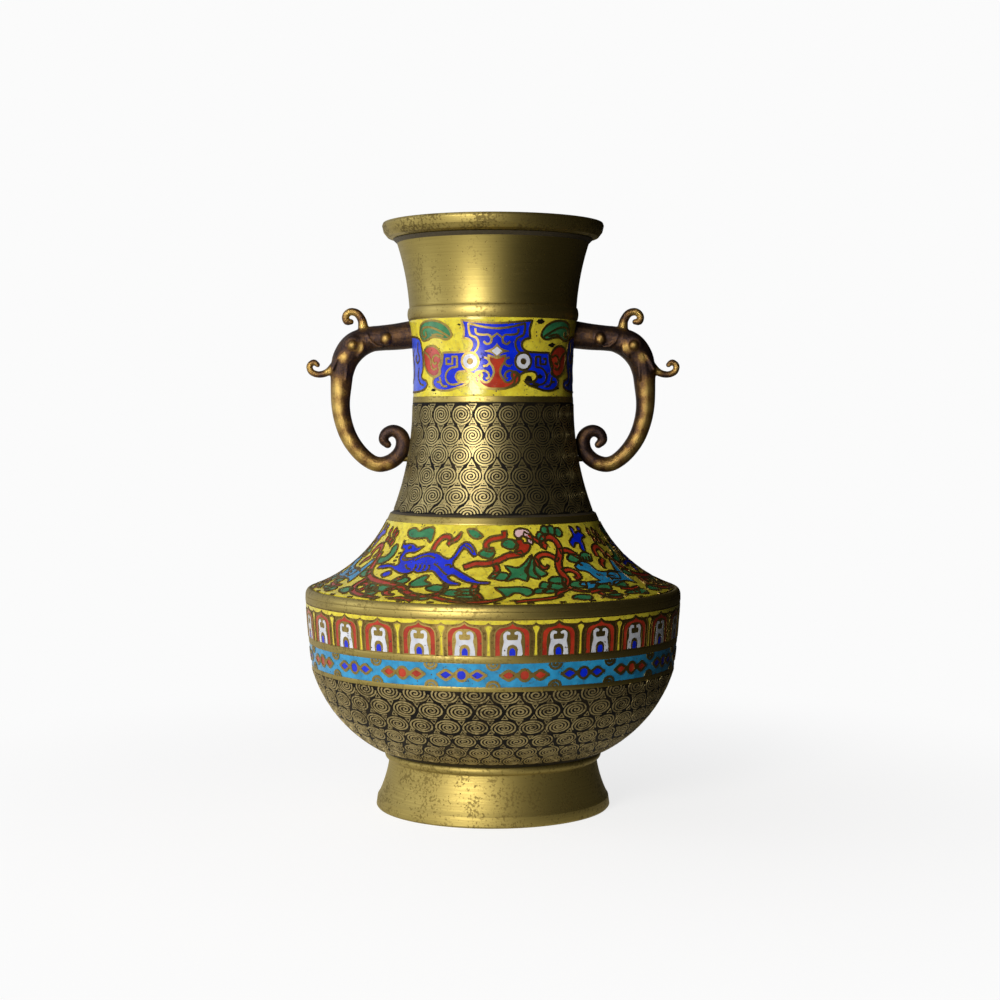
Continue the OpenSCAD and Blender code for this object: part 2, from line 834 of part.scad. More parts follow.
module handle_rivets() {
    upper_in = radius_at(neck_b, band_b, band_bulge, root_z) - wall;
    color(aged_brass)
        for (s = [0, 1])
            mirror([s, 0, 0]) {
                rivet(root_z, rivet_r, upper_in, neck_top_r + 9.5);
                rivet(tail_z, tail_rivet_r, tail_x - wall, tail_x + 4.5);
            }
}

foot_ring();
base_plate();
bowl_casting();
drum_casting();
shoulder_casting();
neck_casting();
collar_ring();
mouth_cup();
lip_ring();
handle_left();
handle_right();
handle_rivets();
base_solder();
neck_solder();
lip_solder();
belt_ground_enamel();
belt_motifs_red();
belt_motifs_blue();
lappet_ground_enamel();
lappet_arches_red();
lappet_figures_white();
lappet_doors_blue();
shoulder_ground_enamel();
shoulder_beasts_blue();
shoulder_beasts_turquoise();
shoulder_vines_red();
shoulder_leaves_green();
neck_ground_enamel();
neck_masks_blue();
neck_masks_red();
neck_masks_white();
neck_horns_green();
neck_pendants_blue();
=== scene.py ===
import math

import bmesh
import bpy
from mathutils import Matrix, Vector, noise


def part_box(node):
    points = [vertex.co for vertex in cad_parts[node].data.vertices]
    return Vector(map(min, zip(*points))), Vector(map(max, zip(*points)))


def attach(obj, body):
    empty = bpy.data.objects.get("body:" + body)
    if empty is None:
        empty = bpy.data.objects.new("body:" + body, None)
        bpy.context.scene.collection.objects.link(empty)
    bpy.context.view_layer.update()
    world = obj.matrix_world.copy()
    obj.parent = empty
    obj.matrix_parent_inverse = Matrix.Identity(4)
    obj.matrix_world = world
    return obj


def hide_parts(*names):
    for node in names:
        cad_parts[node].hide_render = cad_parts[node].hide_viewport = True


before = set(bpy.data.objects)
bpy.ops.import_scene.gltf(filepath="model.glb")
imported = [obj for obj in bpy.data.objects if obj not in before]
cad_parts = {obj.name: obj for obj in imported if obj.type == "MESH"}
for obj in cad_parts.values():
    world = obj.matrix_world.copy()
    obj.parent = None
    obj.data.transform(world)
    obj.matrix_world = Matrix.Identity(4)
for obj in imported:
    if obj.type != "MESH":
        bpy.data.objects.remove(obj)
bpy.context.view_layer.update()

MM = 0.001

# ---- Camera, light and floor ----
# The vase stands on a pale sweep and is seen level with its neck. One broad soft lamp stands to
# the left of the camera; the room to the right is dark, so the metal turns nearly black there.


def linear(code):
    """Linear colour of an sRGB hex code."""
    parts = [int(code[i:i + 2], 16) / 255 for i in (1, 3, 5)]
    return [c / 12.92 if c <= 0.04045 else ((c + 0.055) / 1.055) ** 2.4 for c in parts] + [1.0]


def feed(tree, node, inputs):
    """Gives each input a value, or the node or socket that feeds it."""
    for key, value in inputs.items():
        if isinstance(value, bpy.types.Node):
            value = value.outputs[0]
        if isinstance(value, bpy.types.NodeSocket):
            tree.links.new(value, node.inputs[key])
        else:
            node.inputs[key].default_value = value


def put(tree, kind, inputs=None, **settings):
    """Adds a node with its settings, and feeds its inputs."""
    node = tree.nodes.new(kind)
    for name, value in settings.items():
        setattr(node, name, value)
    feed(tree, node, inputs or {})
    return node


def material(name):
    """An empty material: it, its tree and its Principled shader."""
    made = bpy.data.materials.new(name)
    made.use_nodes = True
    tree = made.node_tree
    tree.nodes.clear()
    shader = put(tree, "ShaderNodeBsdfPrincipled")
    put(tree, "ShaderNodeOutputMaterial", {"Surface": shader})
    return made, tree, shader


def added(name, data):
    """An object for some data, put in the scene."""
    thing = bpy.data.objects.new(name, data)
    bpy.context.scene.collection.objects.link(thing)
    return thing


camera_data = bpy.data.cameras.new("camera")
camera_data.sensor_width = 36
camera_data.lens = 64.94
camera_data.shift_x = 0.007
camera_data.shift_y = -0.0832
camera = added("camera", camera_data)
camera.location = (0, -0.935, 0.200)
camera.rotation_euler = (math.pi / 2, 0, 0)
bpy.context.scene.camera = camera
bpy.context.scene.view_settings.view_transform = "Standard"


def lamp(name, bearing, rise, distance, size, power, colour):
    """A square soft lamp aimed at the vase; bearing runs from the camera's side towards the left."""
    data = bpy.data.lights.new(name, "AREA")
    data.shape = "RECTANGLE"
    data.size, data.size_y = size
    data.energy = power
    data.color = linear(colour)[:3]
    light = added(name, data)
    a, b = math.radians(bearing), math.radians(rise)
    away = Vector((-math.sin(a) * math.cos(b), -math.cos(a) * math.cos(b), math.sin(b)))
    light.location = Vector((0, 0, 0.16)) + away * distance
    light.rotation_euler = away.to_track_quat("Z", "Y").to_euler()


lamp("key", 25, 13, 1.5, (0.46, 0.8), 19, "#FFFAF2")
lamp("left_fill", 88, 12, 1.6, (0.7, 1.1), 4, "#EEF2FF")

# The room: white where it is seen, and grey to the left and dark to the right where it is mirrored
white_code = "#FBFBFB"
world = bpy.data.worlds.new("studio")
bpy.context.scene.world = world
world.use_nodes = True
room = world.node_tree
room.nodes.clear()
way = put(room, "ShaderNodeSeparateXYZ", {0: put(room, "ShaderNodeTexCoord").outputs["Generated"]})
side = put(room, "ShaderNodeMapRange", {"Value": way.outputs[0], "From Min": 0.25, "From Max": -0.55},
           interpolation_type="SMOOTHSTEP")
glow = put(room, "ShaderNodeMix", {0: side, 6: linear("#0D0C0B"), 7: linear("#BEBEC2")},
           data_type="RGBA")
reflected = put(room, "ShaderNodeBackground", {"Color": glow.outputs[2]})
seen = put(room, "ShaderNodeBackground", {"Color": linear(white_code)})
ray = put(room, "ShaderNodeLightPath")
mixed = put(room, "ShaderNodeMixShader", {0: ray.outputs["Is Camera Ray"], 1: reflected, 2: seen})
put(room, "ShaderNodeOutputWorld", {"Surface": mixed})

# A paper sweep: matt, almost white, with the faintest tooth. Seen directly it glows, an emission that
# keeps it white, and fades to the white of the room far off. To all other rays it is painted light: a
# grey glow on the left and dark to the right, which the metal mirrors.
paper, tree, shader = material("white_paper_sweep")
where = put(tree, "ShaderNodeTexCoord").outputs["Object"]
tooth = put(tree, "ShaderNodeTexNoise", {"Vector": where, "Scale": 900.0, "Detail": 2.0})
shade = put(tree, "ShaderNodeMix", {0: tooth, 6: linear("#8B8B8B"), 7: linear("#919191")},
            data_type="RGBA")
feed(tree, shader, {"Base Color": shade.outputs[2], "Roughness": 0.95, "Specular IOR Level": 0.0,
                    "Emission Color": linear(white_code), "Emission Strength": 0.82})
white = put(tree, "ShaderNodeEmission", {"Color": linear(white_code)})
far = put(tree, "ShaderNodeMapRange", {"Value": put(tree, "ShaderNodeVectorMath", {0: where},
                                                    operation="LENGTH").outputs["Value"],
                                       "From Min": 0.12, "From Max": 0.42},
          interpolation_type="SMOOTHSTEP")
faded = put(tree, "ShaderNodeMixShader", {0: far, 1: shader, 2: white})
across = put(tree, "ShaderNodeSeparateXYZ", {0: where})
gloom = put(tree, "ShaderNodeMapRange", {"Value": across, "From Min": -0.02, "From Max": 0.17})
grey = put(tree, "ShaderNodeMix", {0: gloom, 6: linear("#CFCBC0"), 7: linear("#24221F")},
           data_type="RGBA")
# Painted light: rays other than the camera's see the floor glow grey on the left and dark on the right
dim = put(tree, "ShaderNodeEmission", {"Color": grey.outputs[2]})
watched = put(tree, "ShaderNodeLightPath").outputs["Is Camera Ray"]
sweep = put(tree, "ShaderNodeMixShader", {0: watched, 1: dim, 2: faded})
feed(tree, tree.nodes["Material Output"], {"Surface": sweep})
floor_mesh = bpy.data.meshes.new("floor")
floor_half = 6.0
floor_mesh.from_pydata([(x * floor_half, y * floor_half, 0) for x, y in
                        ((-1, -1), (1, -1), (1, 1), (-1, 1))], [], [(0, 1, 2, 3)])
floor_mesh.materials.append(paper)
added("floor", floor_mesh)

# ---- Foot ring ----
# A cast brass ring, turned on a lathe: a low flat rim, a hollow flank and a half-round bead where the
# bowl is let in. Handling has rubbed it bright.


def arc_of(low, high, bulge):
    """Circle of an outline from low to high: centre radius and height, radius, side it bulges to."""
    dr, dz = high[0] - low[0], high[1] - low[1]
    span = math.hypot(dr, dz)
    radius = (span * span / 4 + bulge * bulge) / (2 * abs(bulge))
    sign = 1 if bulge > 0 else -1
    back = sign * (radius - abs(bulge)) / span
    return (low[0] + high[0]) / 2 - dz * back, (low[1] + high[1]) / 2 + dr * back, radius, sign


def flank(arc, from_z, to_z, steps, depth=0.0):
    """Points (radius, height) up an arc, sunk by a depth square to the surface."""
    centre_r, centre_z, radius, sign = arc
    reach = radius - sign * depth
    turns = [math.asin((z - centre_z) / radius) for z in (from_z, to_z)]
    angles = [turns[0] + (turns[1] - turns[0]) * i / steps for i in range(steps + 1)]
    return [(centre_r + sign * reach * math.cos(a), centre_z + reach * math.sin(a)) for a in angles]


def softened(outline, radius):
    """The closed outline with each sharp corner cut to three points of a fillet."""
    points, result = [Vector(p) for p in outline], []
    for i, here in enumerate(points):
        before, after = points[i - 1] - here, points[(i + 1) % len(points)] - here
        if before.length < 1e-6 or after.length < 1e-6:
            continue
        bend = math.pi - before.angle(after)
        if bend < math.radians(18):
            result.append(here)
            continue
        cut = min(radius * math.tan(bend / 2), before.length * 0.45, after.length * 0.45)
        a, b = here + before.normalized() * cut, here + after.normalized() * cut
        result += [a, (a + b + here * 2) / 4, b]
    return result


# Sweeps an outline, drawn flat as radius and height, round the vase's axis
spin = bpy.data.node_groups.new("turned_outline", "GeometryNodeTree")
for label, kind in (("Outline", "NodeSocketGeometry"), ("Faces Round", "NodeSocketInt"),
                    ("Rail Radius", "NodeSocketFloat"), ("Finish", "NodeSocketMaterial")):
    spin.interface.new_socket(label, in_out="INPUT", socket_type=kind)
spin.interface.new_socket("Casting", in_out="OUTPUT", socket_type="NodeSocketGeometry")
given = put(spin, "NodeGroupInput")
rail = put(spin, "GeometryNodeCurvePrimitiveCircle",
           {"Resolution": given.outputs["Faces Round"], "Radius": given.outputs["Rail Radius"]})
outline_curve = put(spin, "GeometryNodeMeshToCurve", {0: given.outputs["Outline"]})
swept = put(spin, "GeometryNodeCurveToMesh", {"Curve": rail, "Profile Curve": outline_curve})
whole = put(spin, "GeometryNodeRealizeInstances", {0: swept})
coated = put(spin, "GeometryNodeSetMaterial", {0: whole, "Material": given.outputs["Finish"]})
put(spin, "NodeGroupOutput", {0: coated})


def built(name, mesh, group, **values):
    """Runs a node group on a drawing and returns its result as a plain mesh with outward faces."""
    draft = added(name + ".draft", mesh)
    modifier = draft.modifiers.new("make", "NODES")
    modifier.node_group = group
    for item in group.interface.items_tree:
        if item.in_out == "INPUT" and item.name.replace(" ", "_").lower() in values:
            modifier[item.identifier] = values[item.name.replace(" ", "_").lower()]
    bpy.context.view_layer.update()
    evaluated = draft.evaluated_get(bpy.context.evaluated_depsgraph_get())
    result = bpy.data.meshes.new_from_object(evaluated)
    bpy.data.objects.remove(draft)
    return smoothed(name, result)


def smoothed(name, mesh, crease=38):
    """An object with outward, smooth faces that stay sharp across steep edges."""
    work = bmesh.new()
    work.from_mesh(mesh)
    bmesh.ops.remove_doubles(work, verts=work.verts, dist=1e-7)
    bmesh.ops.recalc_face_normals(work, faces=work.faces)
    for face in work.faces:
        face.smooth = True
    for edge in work.edges:
        edge.smooth = len(edge.link_faces) == 2 and edge.calc_face_angle(0) < math.radians(crease)
    work.to_mesh(mesh)
    work.free()
    return added(name, mesh)


def turned(name, outline, finish, faces_round=256, corner=0.3):
    """A piece turned round the axis from a closed outline in millimetres."""
    rail_radius = 0.01
    points = softened(outline, corner)
    mesh = bpy.data.meshes.new(name)
    mesh.from_pydata([(p[0] * MM - rail_radius, -p[1] * MM, 0) for p in points],
                     [(i, (i + 1) % len(points)) for i in range(len(points))], [])
    return built(name, mesh, spin, faces_round=faces_round, rail_radius=rail_radius, finish=finish)


def in_millimetres(tree, stretch=(1, 1, 1)):
    """Object coordinates in millimetres, stretched along the axes."""
    return put(tree, "ShaderNodeVectorMath",
               {0: put(tree, "ShaderNodeTexCoord").outputs["Object"],
                1: [k / MM for k in stretch]}, operation="MULTIPLY")


def cast_brass(name, bright, dull, age=0.5, rough=0.33, scratch=0.35):
    """Cast brass, turned and rubbed: warm metal, brown age in blotches, fine rings left by the
    lathe and small dark casting pits. age is the share of the surface gone brown."""
    made, tree, shader = material(name)
    place = in_millimetres(tree)
    blotch = put(tree, "ShaderNodeTexNoise",
                 {"Vector": place, "Scale": 1 / 14, "Detail": 7.0, "Roughness": 0.68})
    rings = put(tree, "ShaderNodeTexNoise",
                {"Vector": in_millimetres(tree, (0.035, 0.035, 1.6)), "Scale": 1.0, "Detail": 4.0,
                 "Roughness": 0.7})
    pits = put(tree, "ShaderNodeTexVoronoi", {"Vector": place, "Scale": 1 / 2.6})
    pitted = put(tree, "ShaderNodeMapRange", {"Value": pits.outputs["Distance"], "From Min": 0.06,
                                             "From Max": 0.13, "To Min": 1.0, "To Max": 0.0})
    grime = put(tree, "ShaderNodeTexNoise", {"Vector": place, "Scale": 1 / 1.3, "Detail": 4.0})
    some = put(tree, "ShaderNodeMath", {0: blotch, 1: grime, 2: 0.0}, operation="MULTIPLY_ADD")
    brown = put(tree, "ShaderNodeMapRange",
                {"Value": some, "From Min": 0.36 - 0.2 * age, "From Max": 0.42 - 0.16 * age,
                 "To Max": 0.25 + 0.6 * age})
    streaked = put(tree, "ShaderNodeMapRange", {"Value": rings, "From Min": 0.3, "From Max": 0.75,
                                               "To Max": 0.35})
    stain = put(tree, "ShaderNodeMath", {0: brown, 1: streaked}, operation="MAXIMUM")
    hollow = put(tree, "ShaderNodeMath", {0: stain, 1: pitted}, operation="MAXIMUM")
    colour = put(tree, "ShaderNodeMix", {0: hollow, 6: linear(bright), 7: linear(dull)},
                 data_type="RGBA")
    gloss = put(tree, "ShaderNodeMapRange", {"Value": hollow, "To Min": rough,
                                            "To Max": rough + 0.25})
    ripple = put(tree, "ShaderNodeBump", {"Height": rings, "Strength": scratch, "Distance": 0.00004})
    dents = put(tree, "ShaderNodeBump", {"Height": pitted, "Strength": 0.5, "Distance": 0.00012,
                                        "Normal": ripple}, invert=True)
    feed(tree, shader, {"Base Color": colour.outputs[2], "Metallic": 1.0, "Roughness": gloss,
                        "Normal": dents})
    return made


brass_bright, brass_dull = "#B7A560", "#5A4A28"
turned_brass = cast_brass("turned_cast_brass", brass_bright, brass_dull, rough=0.39, scratch=0.25)

foot_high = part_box("foot_ring")[1]
foot_r, foot_h = foot_high.x / MM, foot_high.z / MM
foot_waist, bead_h, rim_h = 53.5, 4.5, 6.8
foot_side = arc_of((foot_r - 1.6, rim_h), (foot_waist, foot_h - bead_h), -0.7)
bead_side = arc_of((foot_waist + 0.6, foot_h - bead_h), (foot_waist + 1.2, foot_h), 1.4)
foot = turned("foot_ring_turned", [
    (foot_r - 3.4, 0), (foot_r - 0.6, 0), (foot_r, 0.8), (foot_r - 0.6, rim_h - 1.6),
    *flank(foot_side, rim_h, foot_h - bead_h, 24),
    *flank(bead_side, foot_h - bead_h, foot_h, 10),
    (foot_waist - 2.5, foot_h), (foot_waist - 2.5, foot_h - 6), (foot_waist - 6, foot_h - 6),
    (foot_waist - 6, foot_h - 8), (foot_waist - 3, foot_h - 12)],
              cast_brass("foot_cast_brass", brass_bright, brass_dull, age=0.55, rough=0.5,
                         scratch=0.25))
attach(foot, "root")
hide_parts("foot_ring")

# ---- Base plate and its solder ----
# A brass disc dropped onto a ledge inside the foot and run round with soft solder from below. It
# is never polished, so it stays brown, and the solder is grey and lumpy.
dull_plate = cast_brass("unpolished_brass_plate", "#7C6C3E", "#3F351F", age=0.9, rough=0.5)


def soft_solder(name, colour):
    """Tin solder wiped on hot: grey, matt, in small lumps about a millimetre across."""
    made, tree, shader = material(name)
    lumps = put(tree, "ShaderNodeTexNoise", {"Vector": in_millimetres(tree), "Scale": 1 / 1.2,
                                            "Detail": 5.0, "Roughness": 0.7})
    shade = put(tree, "ShaderNodeMix", {0: lumps, 6: linear("#3B3831"), 7: linear(colour)},
                data_type="RGBA")
    bump = put(tree, "ShaderNodeBump", {"Height": lumps, "Strength": 0.8, "Distance": 0.0003})
    feed(tree, shader, {"Base Color": shade.outputs[2], "Metallic": 0.7, "Roughness": 0.55,
                        "Normal": bump})
    return made


def coat(node, finish):
    """Gives a piece that is kept from the frame its material."""
    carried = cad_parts[node]
    carried.data.materials.clear()
    carried.data.materials.append(finish)


coat("base_plate", dull_plate)
coat("base_solder", soft_solder("soft_solder", "#B4B0A6"))

# ---- Bowl ----
# A cast brass bowl let into the foot. Its outside is cast with rows of scrolls in low relief: the tops
# are rubbed bright, and painted lighter than the neck's scrolls as painted light, since the bowl faces
# down and little lamp light reaches it. The ground between them is filled with black wax and dirt.


def blackened(name, dark, warm):
    """Cast brass under black filling: dull and nearly black, with rubbed brown patches."""
    made, tree, shader = material(name)
    place = in_millimetres(tree)
    patch = put(tree, "ShaderNodeTexNoise", {"Vector": place, "Scale": 1 / 11, "Detail": 6.0,
                                            "Roughness": 0.7})
    shade = put(tree, "ShaderNodeMapRange", {"Value": patch, "From Min": 0.45, "From Max": 0.72})
    colour = put(tree, "ShaderNodeMix", {0: shade, 6: linear(dark), 7: linear(warm)},
                 data_type="RGBA")
    grit = put(tree, "ShaderNodeTexNoise", {"Vector": place, "Scale": 1 / 0.5, "Detail": 3.0})
    bump = put(tree, "ShaderNodeBump", {"Height": grit, "Strength": 0.6, "Distance": 0.00012})
    feed(tree, shader, {"Base Color": colour.outputs[2], "Metallic": 0.75, "Roughness": 0.62,
                        "Normal": bump})
    return made


# Lays flat work on a band of the vase: x runs round it, y up it and z out of it. Drawn lines are
# given a rounded section first, and the work is repeated a number of times round the band.
lay = bpy.data.node_groups.new("work_laid_on_band", "GeometryNodeTree")
for label, kind in (("Flat Work", "NodeSocketGeometry"), ("Lines", "NodeSocketBool"),
                    ("Width", "NodeSocketFloat"), ("Height", "NodeSocketFloat"),
                    ("Section Sides", "NodeSocketInt"), ("Unevenness", "NodeSocketFloat"),
                    ("Repeats", "NodeSocketInt"), ("Pitch", "NodeSocketFloat"),
                    ("Drawn Radius", "NodeSocketFloat"), ("Turn", "NodeSocketFloat"),
                    ("Centre Out", "NodeSocketFloat"), ("Centre Up", "NodeSocketFloat"),
                    ("Arc Radius", "NodeSocketFloat"), ("Side", "NodeSocketFloat"),
                    ("Start", "NodeSocketFloat"), ("Finish", "NodeSocketMaterial")):
    lay.interface.new_socket(label, in_out="INPUT", socket_type=kind)
lay.interface.new_socket("Band", in_out="OUTPUT", socket_type="NodeSocketGeometry")
given = put(lay, "NodeGroupInput").outputs
curves = put(lay, "GeometryNodeMeshToCurve", {0: given["Flat Work"]})
hand = put(lay, "ShaderNodeTexNoise", {"Vector": put(lay, "GeometryNodeInputPosition"),
                                       "Scale": 420.0, "Detail": 2.0})
low = put(lay, "ShaderNodeMath", {0: 1.0, 1: given["Unevenness"]}, operation="SUBTRACT")
high = put(lay, "ShaderNodeMath", {0: 1.0, 1: given["Unevenness"]}, operation="ADD")
thick = put(lay, "ShaderNodeMapRange", {"Value": hand, "From Min": 0.3, "From Max": 0.7,
                                        "To Min": low, "To Max": high})
half = put(lay, "ShaderNodeMath", {0: given["Width"], 1: 0.5}, operation="MULTIPLY")
section = put(lay, "GeometryNodeCurvePrimitiveCircle",
              {"Resolution": given["Section Sides"], "Radius": half})
share = put(lay, "ShaderNodeMath", {0: given["Height"], 1: half}, operation="DIVIDE")
squash = put(lay, "ShaderNodeCombineXYZ", {0: 1.0, 1: share, 2: 1.0})
flat_topped = put(lay, "ShaderNodeMath", {0: math.pi, 1: given["Section Sides"]}, operation="DIVIDE")
turned_up = put(lay, "ShaderNodeMath", {0: flat_topped, 1: math.pi / 2}, operation="SUBTRACT")
upright = put(lay, "GeometryNodeTransform",
              {"Geometry": section, "Rotation": put(lay, "ShaderNodeCombineXYZ", {2: turned_up})})
flattened = put(lay, "GeometryNodeTransform", {"Geometry": upright, "Scale": squash})
ribbons = put(lay, "GeometryNodeCurveToMesh",
              {"Curve": put(lay, "GeometryNodeSetCurveRadius", {"Curve": curves, "Radius": thick}),
               "Profile Curve": flattened, "Scale": put(lay, "GeometryNodeInputRadius"),
               "Fill Caps": True})
chosen = put(lay, "GeometryNodeSwitch", {"Switch": given["Lines"], "False": given["Flat Work"],
                                         "True": ribbons}, input_type="GEOMETRY")
along = put(lay, "ShaderNodeCombineXYZ", {0: given["Pitch"]})
stations = put(lay, "GeometryNodeMeshLine", {"Count": given["Repeats"], "Offset": along})
copies = put(lay, "GeometryNodeInstanceOnPoints", {"Points": stations, "Instance": chosen})
flat = put(lay, "GeometryNodeRealizeInstances", {0: copies})
spot = put(lay, "ShaderNodeSeparateXYZ", {0: put(lay, "GeometryNodeInputPosition")}).outputs
bearing = put(lay, "ShaderNodeMath", {0: spot[0], 1: given["Drawn Radius"]}, operation="DIVIDE")
bearing = put(lay, "ShaderNodeMath", {0: bearing, 1: given["Turn"]}, operation="ADD")
bearing = put(lay, "ShaderNodeMath", {0: bearing, 1: math.pi / 2}, operation="SUBTRACT")
rise = put(lay, "ShaderNodeMath", {0: spot[1], 1: given["Arc Radius"]}, operation="DIVIDE")
rise = put(lay, "ShaderNodeMath", {0: rise, 1: given["Start"]}, operation="ADD")
reach = put(lay, "ShaderNodeMath", {0: spot[2], 1: given["Side"], 2: given["Arc Radius"]},
            operation="MULTIPLY_ADD")
reach_out = put(lay, "ShaderNodeMath", {0: reach, 1: given["Side"]}, operation="MULTIPLY")
outward = put(lay, "ShaderNodeMath", {0: put(lay, "ShaderNodeMath", {0: rise}, operation="COSINE"),
                                      1: reach_out, 2: given["Centre Out"]},
              operation="MULTIPLY_ADD")
upward = put(lay, "ShaderNodeMath", {0: put(lay, "ShaderNodeMath", {0: rise}, operation="SINE"),
                                     1: reach, 2: given["Centre Up"]}, operation="MULTIPLY_ADD")
east = put(lay, "ShaderNodeMath", {0: put(lay, "ShaderNodeMath", {0: bearing}, operation="COSINE"),
                                   1: outward}, operation="MULTIPLY")
north = put(lay, "ShaderNodeMath", {0: put(lay, "ShaderNodeMath", {0: bearing}, operation="SINE"),
                                    1: outward}, operation="MULTIPLY")
wrapped = put(lay, "GeometryNodeSetPosition",
              {"Geometry": flat,
               "Position": put(lay, "ShaderNodeCombineXYZ", {0: east, 1: north, 2: upward})})
put(lay, "NodeGroupOutput", {0: put(lay, "GeometryNodeSetMaterial",
                                    {0: wrapped, "Material": given["Finish"]})})


def drawn(points, closed=False, step=0.8):
    """A smooth line through points; a point given twice is a sharp corner."""
    count = len(points)
    line = []
    for i in range(count if closed else count - 1):
        a, b = Vector(points[i]), Vector(points[(i + 1) % count])
        span = (b - a).length
        if span < 1e-6:
            continue
        before = Vector(points[i - 1]) if closed or i else a
        after = Vector(points[(i + 2) % count]) if closed or i + 2 < count else b
        leave = (b - before) * span / (span + (a - before).length)
        arrive = (after - a) * span / (span + (after - b).length)
        steps = max(1, round(span / step))
        for k in range(steps):
            t = k / steps
            line.append(a * (2 * t ** 3 - 3 * t * t + 1) + leave * (t ** 3 - 2 * t * t + t)
                        + b * (3 * t * t - 2 * t ** 3) + arrive * (t ** 3 - t * t))
    if not closed:
        line.append(Vector(points[-1]))
    return line


def lines_mesh(name, lines, lift=0.0, low=-1e9, high=1e9):
    """One mesh of open lines, each a list of (x, y) in millimetres, cut off below low and above high.
    A line whose last point repeats its first is closed."""
    verts, edges = [], []
    for line in lines:
        closed = (Vector(line[0]) - Vector(line[-1])).length < 1e-6
        first, kept = len(verts), line[:-1] if closed else line
        inside = [low <= p[1] <= high for p in kept]
        verts += [(p[0] * MM, min(max(p[1], low), high) * MM, lift * MM) for p in kept]
        edges += [(first + i, first + i + 1) for i in range(len(kept) - 1)
                  if inside[i] and inside[i + 1]]
        if closed and inside[0] and inside[-1]:
            edges.append((first + len(kept) - 1, first))
    mesh = bpy.data.meshes.new(name)
    mesh.from_pydata(verts, edges, [])
    return mesh


def laid(name, mesh, arc, start_z, drawn_radius, finish, repeats=1, pitch=0.0, turn=0.0,
         lines=True, width=0.9, height=0.2, sides=4, unevenness=0.0):
    """Flat work laid on the band whose outline is an arc, from a height up."""
    centre_r, centre_z, radius, sign = arc
    return built(name, mesh, lay, lines=lines, width=width * MM, height=height * MM,
                 section_sides=sides, unevenness=unevenness, repeats=repeats, pitch=pitch * MM,
                 drawn_radius=drawn_radius * MM, turn=math.radians(turn),
                 centre_out=centre_r * MM, centre_up=centre_z * MM, arc_radius=radius * MM,
                 side=float(sign), start=math.asin((start_z - centre_z) / radius), finish=finish)


def scroll(x, y, wide, tall, turns, begin, steps=46):
    """A line that winds out from its eye, with longer steps as it widens."""
    points = []
    for i in range(steps + 1):
        wound = (i / steps) ** 0.72
        angle = math.radians(begin) + 2 * math.pi * turns * wound
        grown = 0.06 + 0.94 * wound
        points.append((x + wide / 2 * grown * math.cos(angle), y + tall / 2 * grown * math.sin(angle)))
    return points


ground_black = blackened("black_filled_casting", "#161411", "#3A3020")
scroll_brass = cast_brass("rubbed_scroll_relief", "#B8A975", "#4A402C", age=0.5, rough=0.42,
                          scratch=0.1)
# Rubbed brass, made lighter than the neck's scroll brass as painted light, since the bowl faces down
# and little lamp light reaches it
rubbed_and_lightened_scroll_brass = cast_brass("worn_scroll_relief", "#CDBB86", "#4A3F2C", age=0.65, rough=0.46,
                               scratch=0.1)

drum_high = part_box("drum_casting")[1]
shoulder_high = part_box("shoulder_casting")[1]
bowl_z, drum_z = foot_h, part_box("bowl_casting")[1].z / MM
bowl_top_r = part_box("bowl_casting")[1].x / MM
bowl_low_r, bowl_bore_r, wall = 56.6, 50, 2.8
bowl_side = arc_of((bowl_low_r, bowl_z), (bowl_top_r, drum_z), 6)
bowl = turned("bowl_turned", [
    *flank(bowl_side, bowl_z, drum_z, 48), (bowl_top_r - 4, drum_z),
    *reversed(flank(bowl_side, bowl_z + wall, drum_z - 2, 40, wall)), (bowl_bore_r, bowl_z + 1),
    (bowl_bore_r, bowl_z)], ground_black)
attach(bowl, "root")
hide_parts("bowl_casting")

scroll_count, scroll_rows, scroll_tall = 40, (10, 18.5, 28, 37.5, 47, 56), 9.1
bowl_drawn_r = 80
pitch = 2 * math.pi * bowl_drawn_r / scroll_count
bowl_lines = []
for row, height in enumerate(scroll_rows):
    across = (row % 2) * pitch / 2
    bowl_lines.append(scroll(across, height, pitch * 0.95, scroll_tall, 3.5, 200 + 67 * row))
    for gap in (-1, 1):
        y = height + gap * 2.6
        bowl_lines.append([(across + pitch / 2 + dx, y + gap * dy) for dx, dy in
                           ((-1.2, 1.4), (1.2, 1.4), (0, -0.7), (-1.2, 1.4))])
bowl_scrolls = laid("bowl_scrolls", lines_mesh("bowl_scrolls", bowl_lines, low=5.5, high=58),
                    bowl_side, bowl_z, bowl_drawn_r, rubbed_and_lightened_scroll_brass, repeats=scroll_count,
                    pitch=pitch, turn=-0.9, width=0.98, height=0.32, unevenness=0.25)
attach(bowl_scrolls, "root")

# ---- Drum ----
# A straight-sided cast brass ring with two channels turned in it. Walls of brass were cast in the
# channels, glass paste was fired between them, and the whole was ground and polished flush.
ring_low, belt_h, ring_mid, lappet_h = 2.3, 11.1, 3.3, 17.6
channel = 0.9
ridge_r, shoulder_z = shoulder_high.x / MM, drum_high.z / MM
drum_side = arc_of((bowl_top_r, drum_z), (ridge_r, shoulder_z), 0.4)
belt_z = drum_z + ring_low
lappet_z = belt_z + belt_h + ring_mid
ridge_z = lappet_z + lappet_h
drum = turned("drum_turned", [
    *flank(drum_side, drum_z, belt_z, 2), *flank(drum_side, belt_z, belt_z + belt_h, 4, channel),
    *flank(drum_side, belt_z + belt_h, lappet_z, 2),
    *flank(drum_side, lappet_z, ridge_z, 4, channel),
    (ridge_r - 0.2, ridge_z), (ridge_r, ridge_z + 0.8), (ridge_r, shoulder_z),
    (ridge_r - 5.5, shoulder_z), (ridge_r - 6, drum_z + 2), (bowl_top_r - 3.5, drum_z)],
    turned_brass, corner=0.25)
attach(drum, "root")
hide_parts("drum_casting")


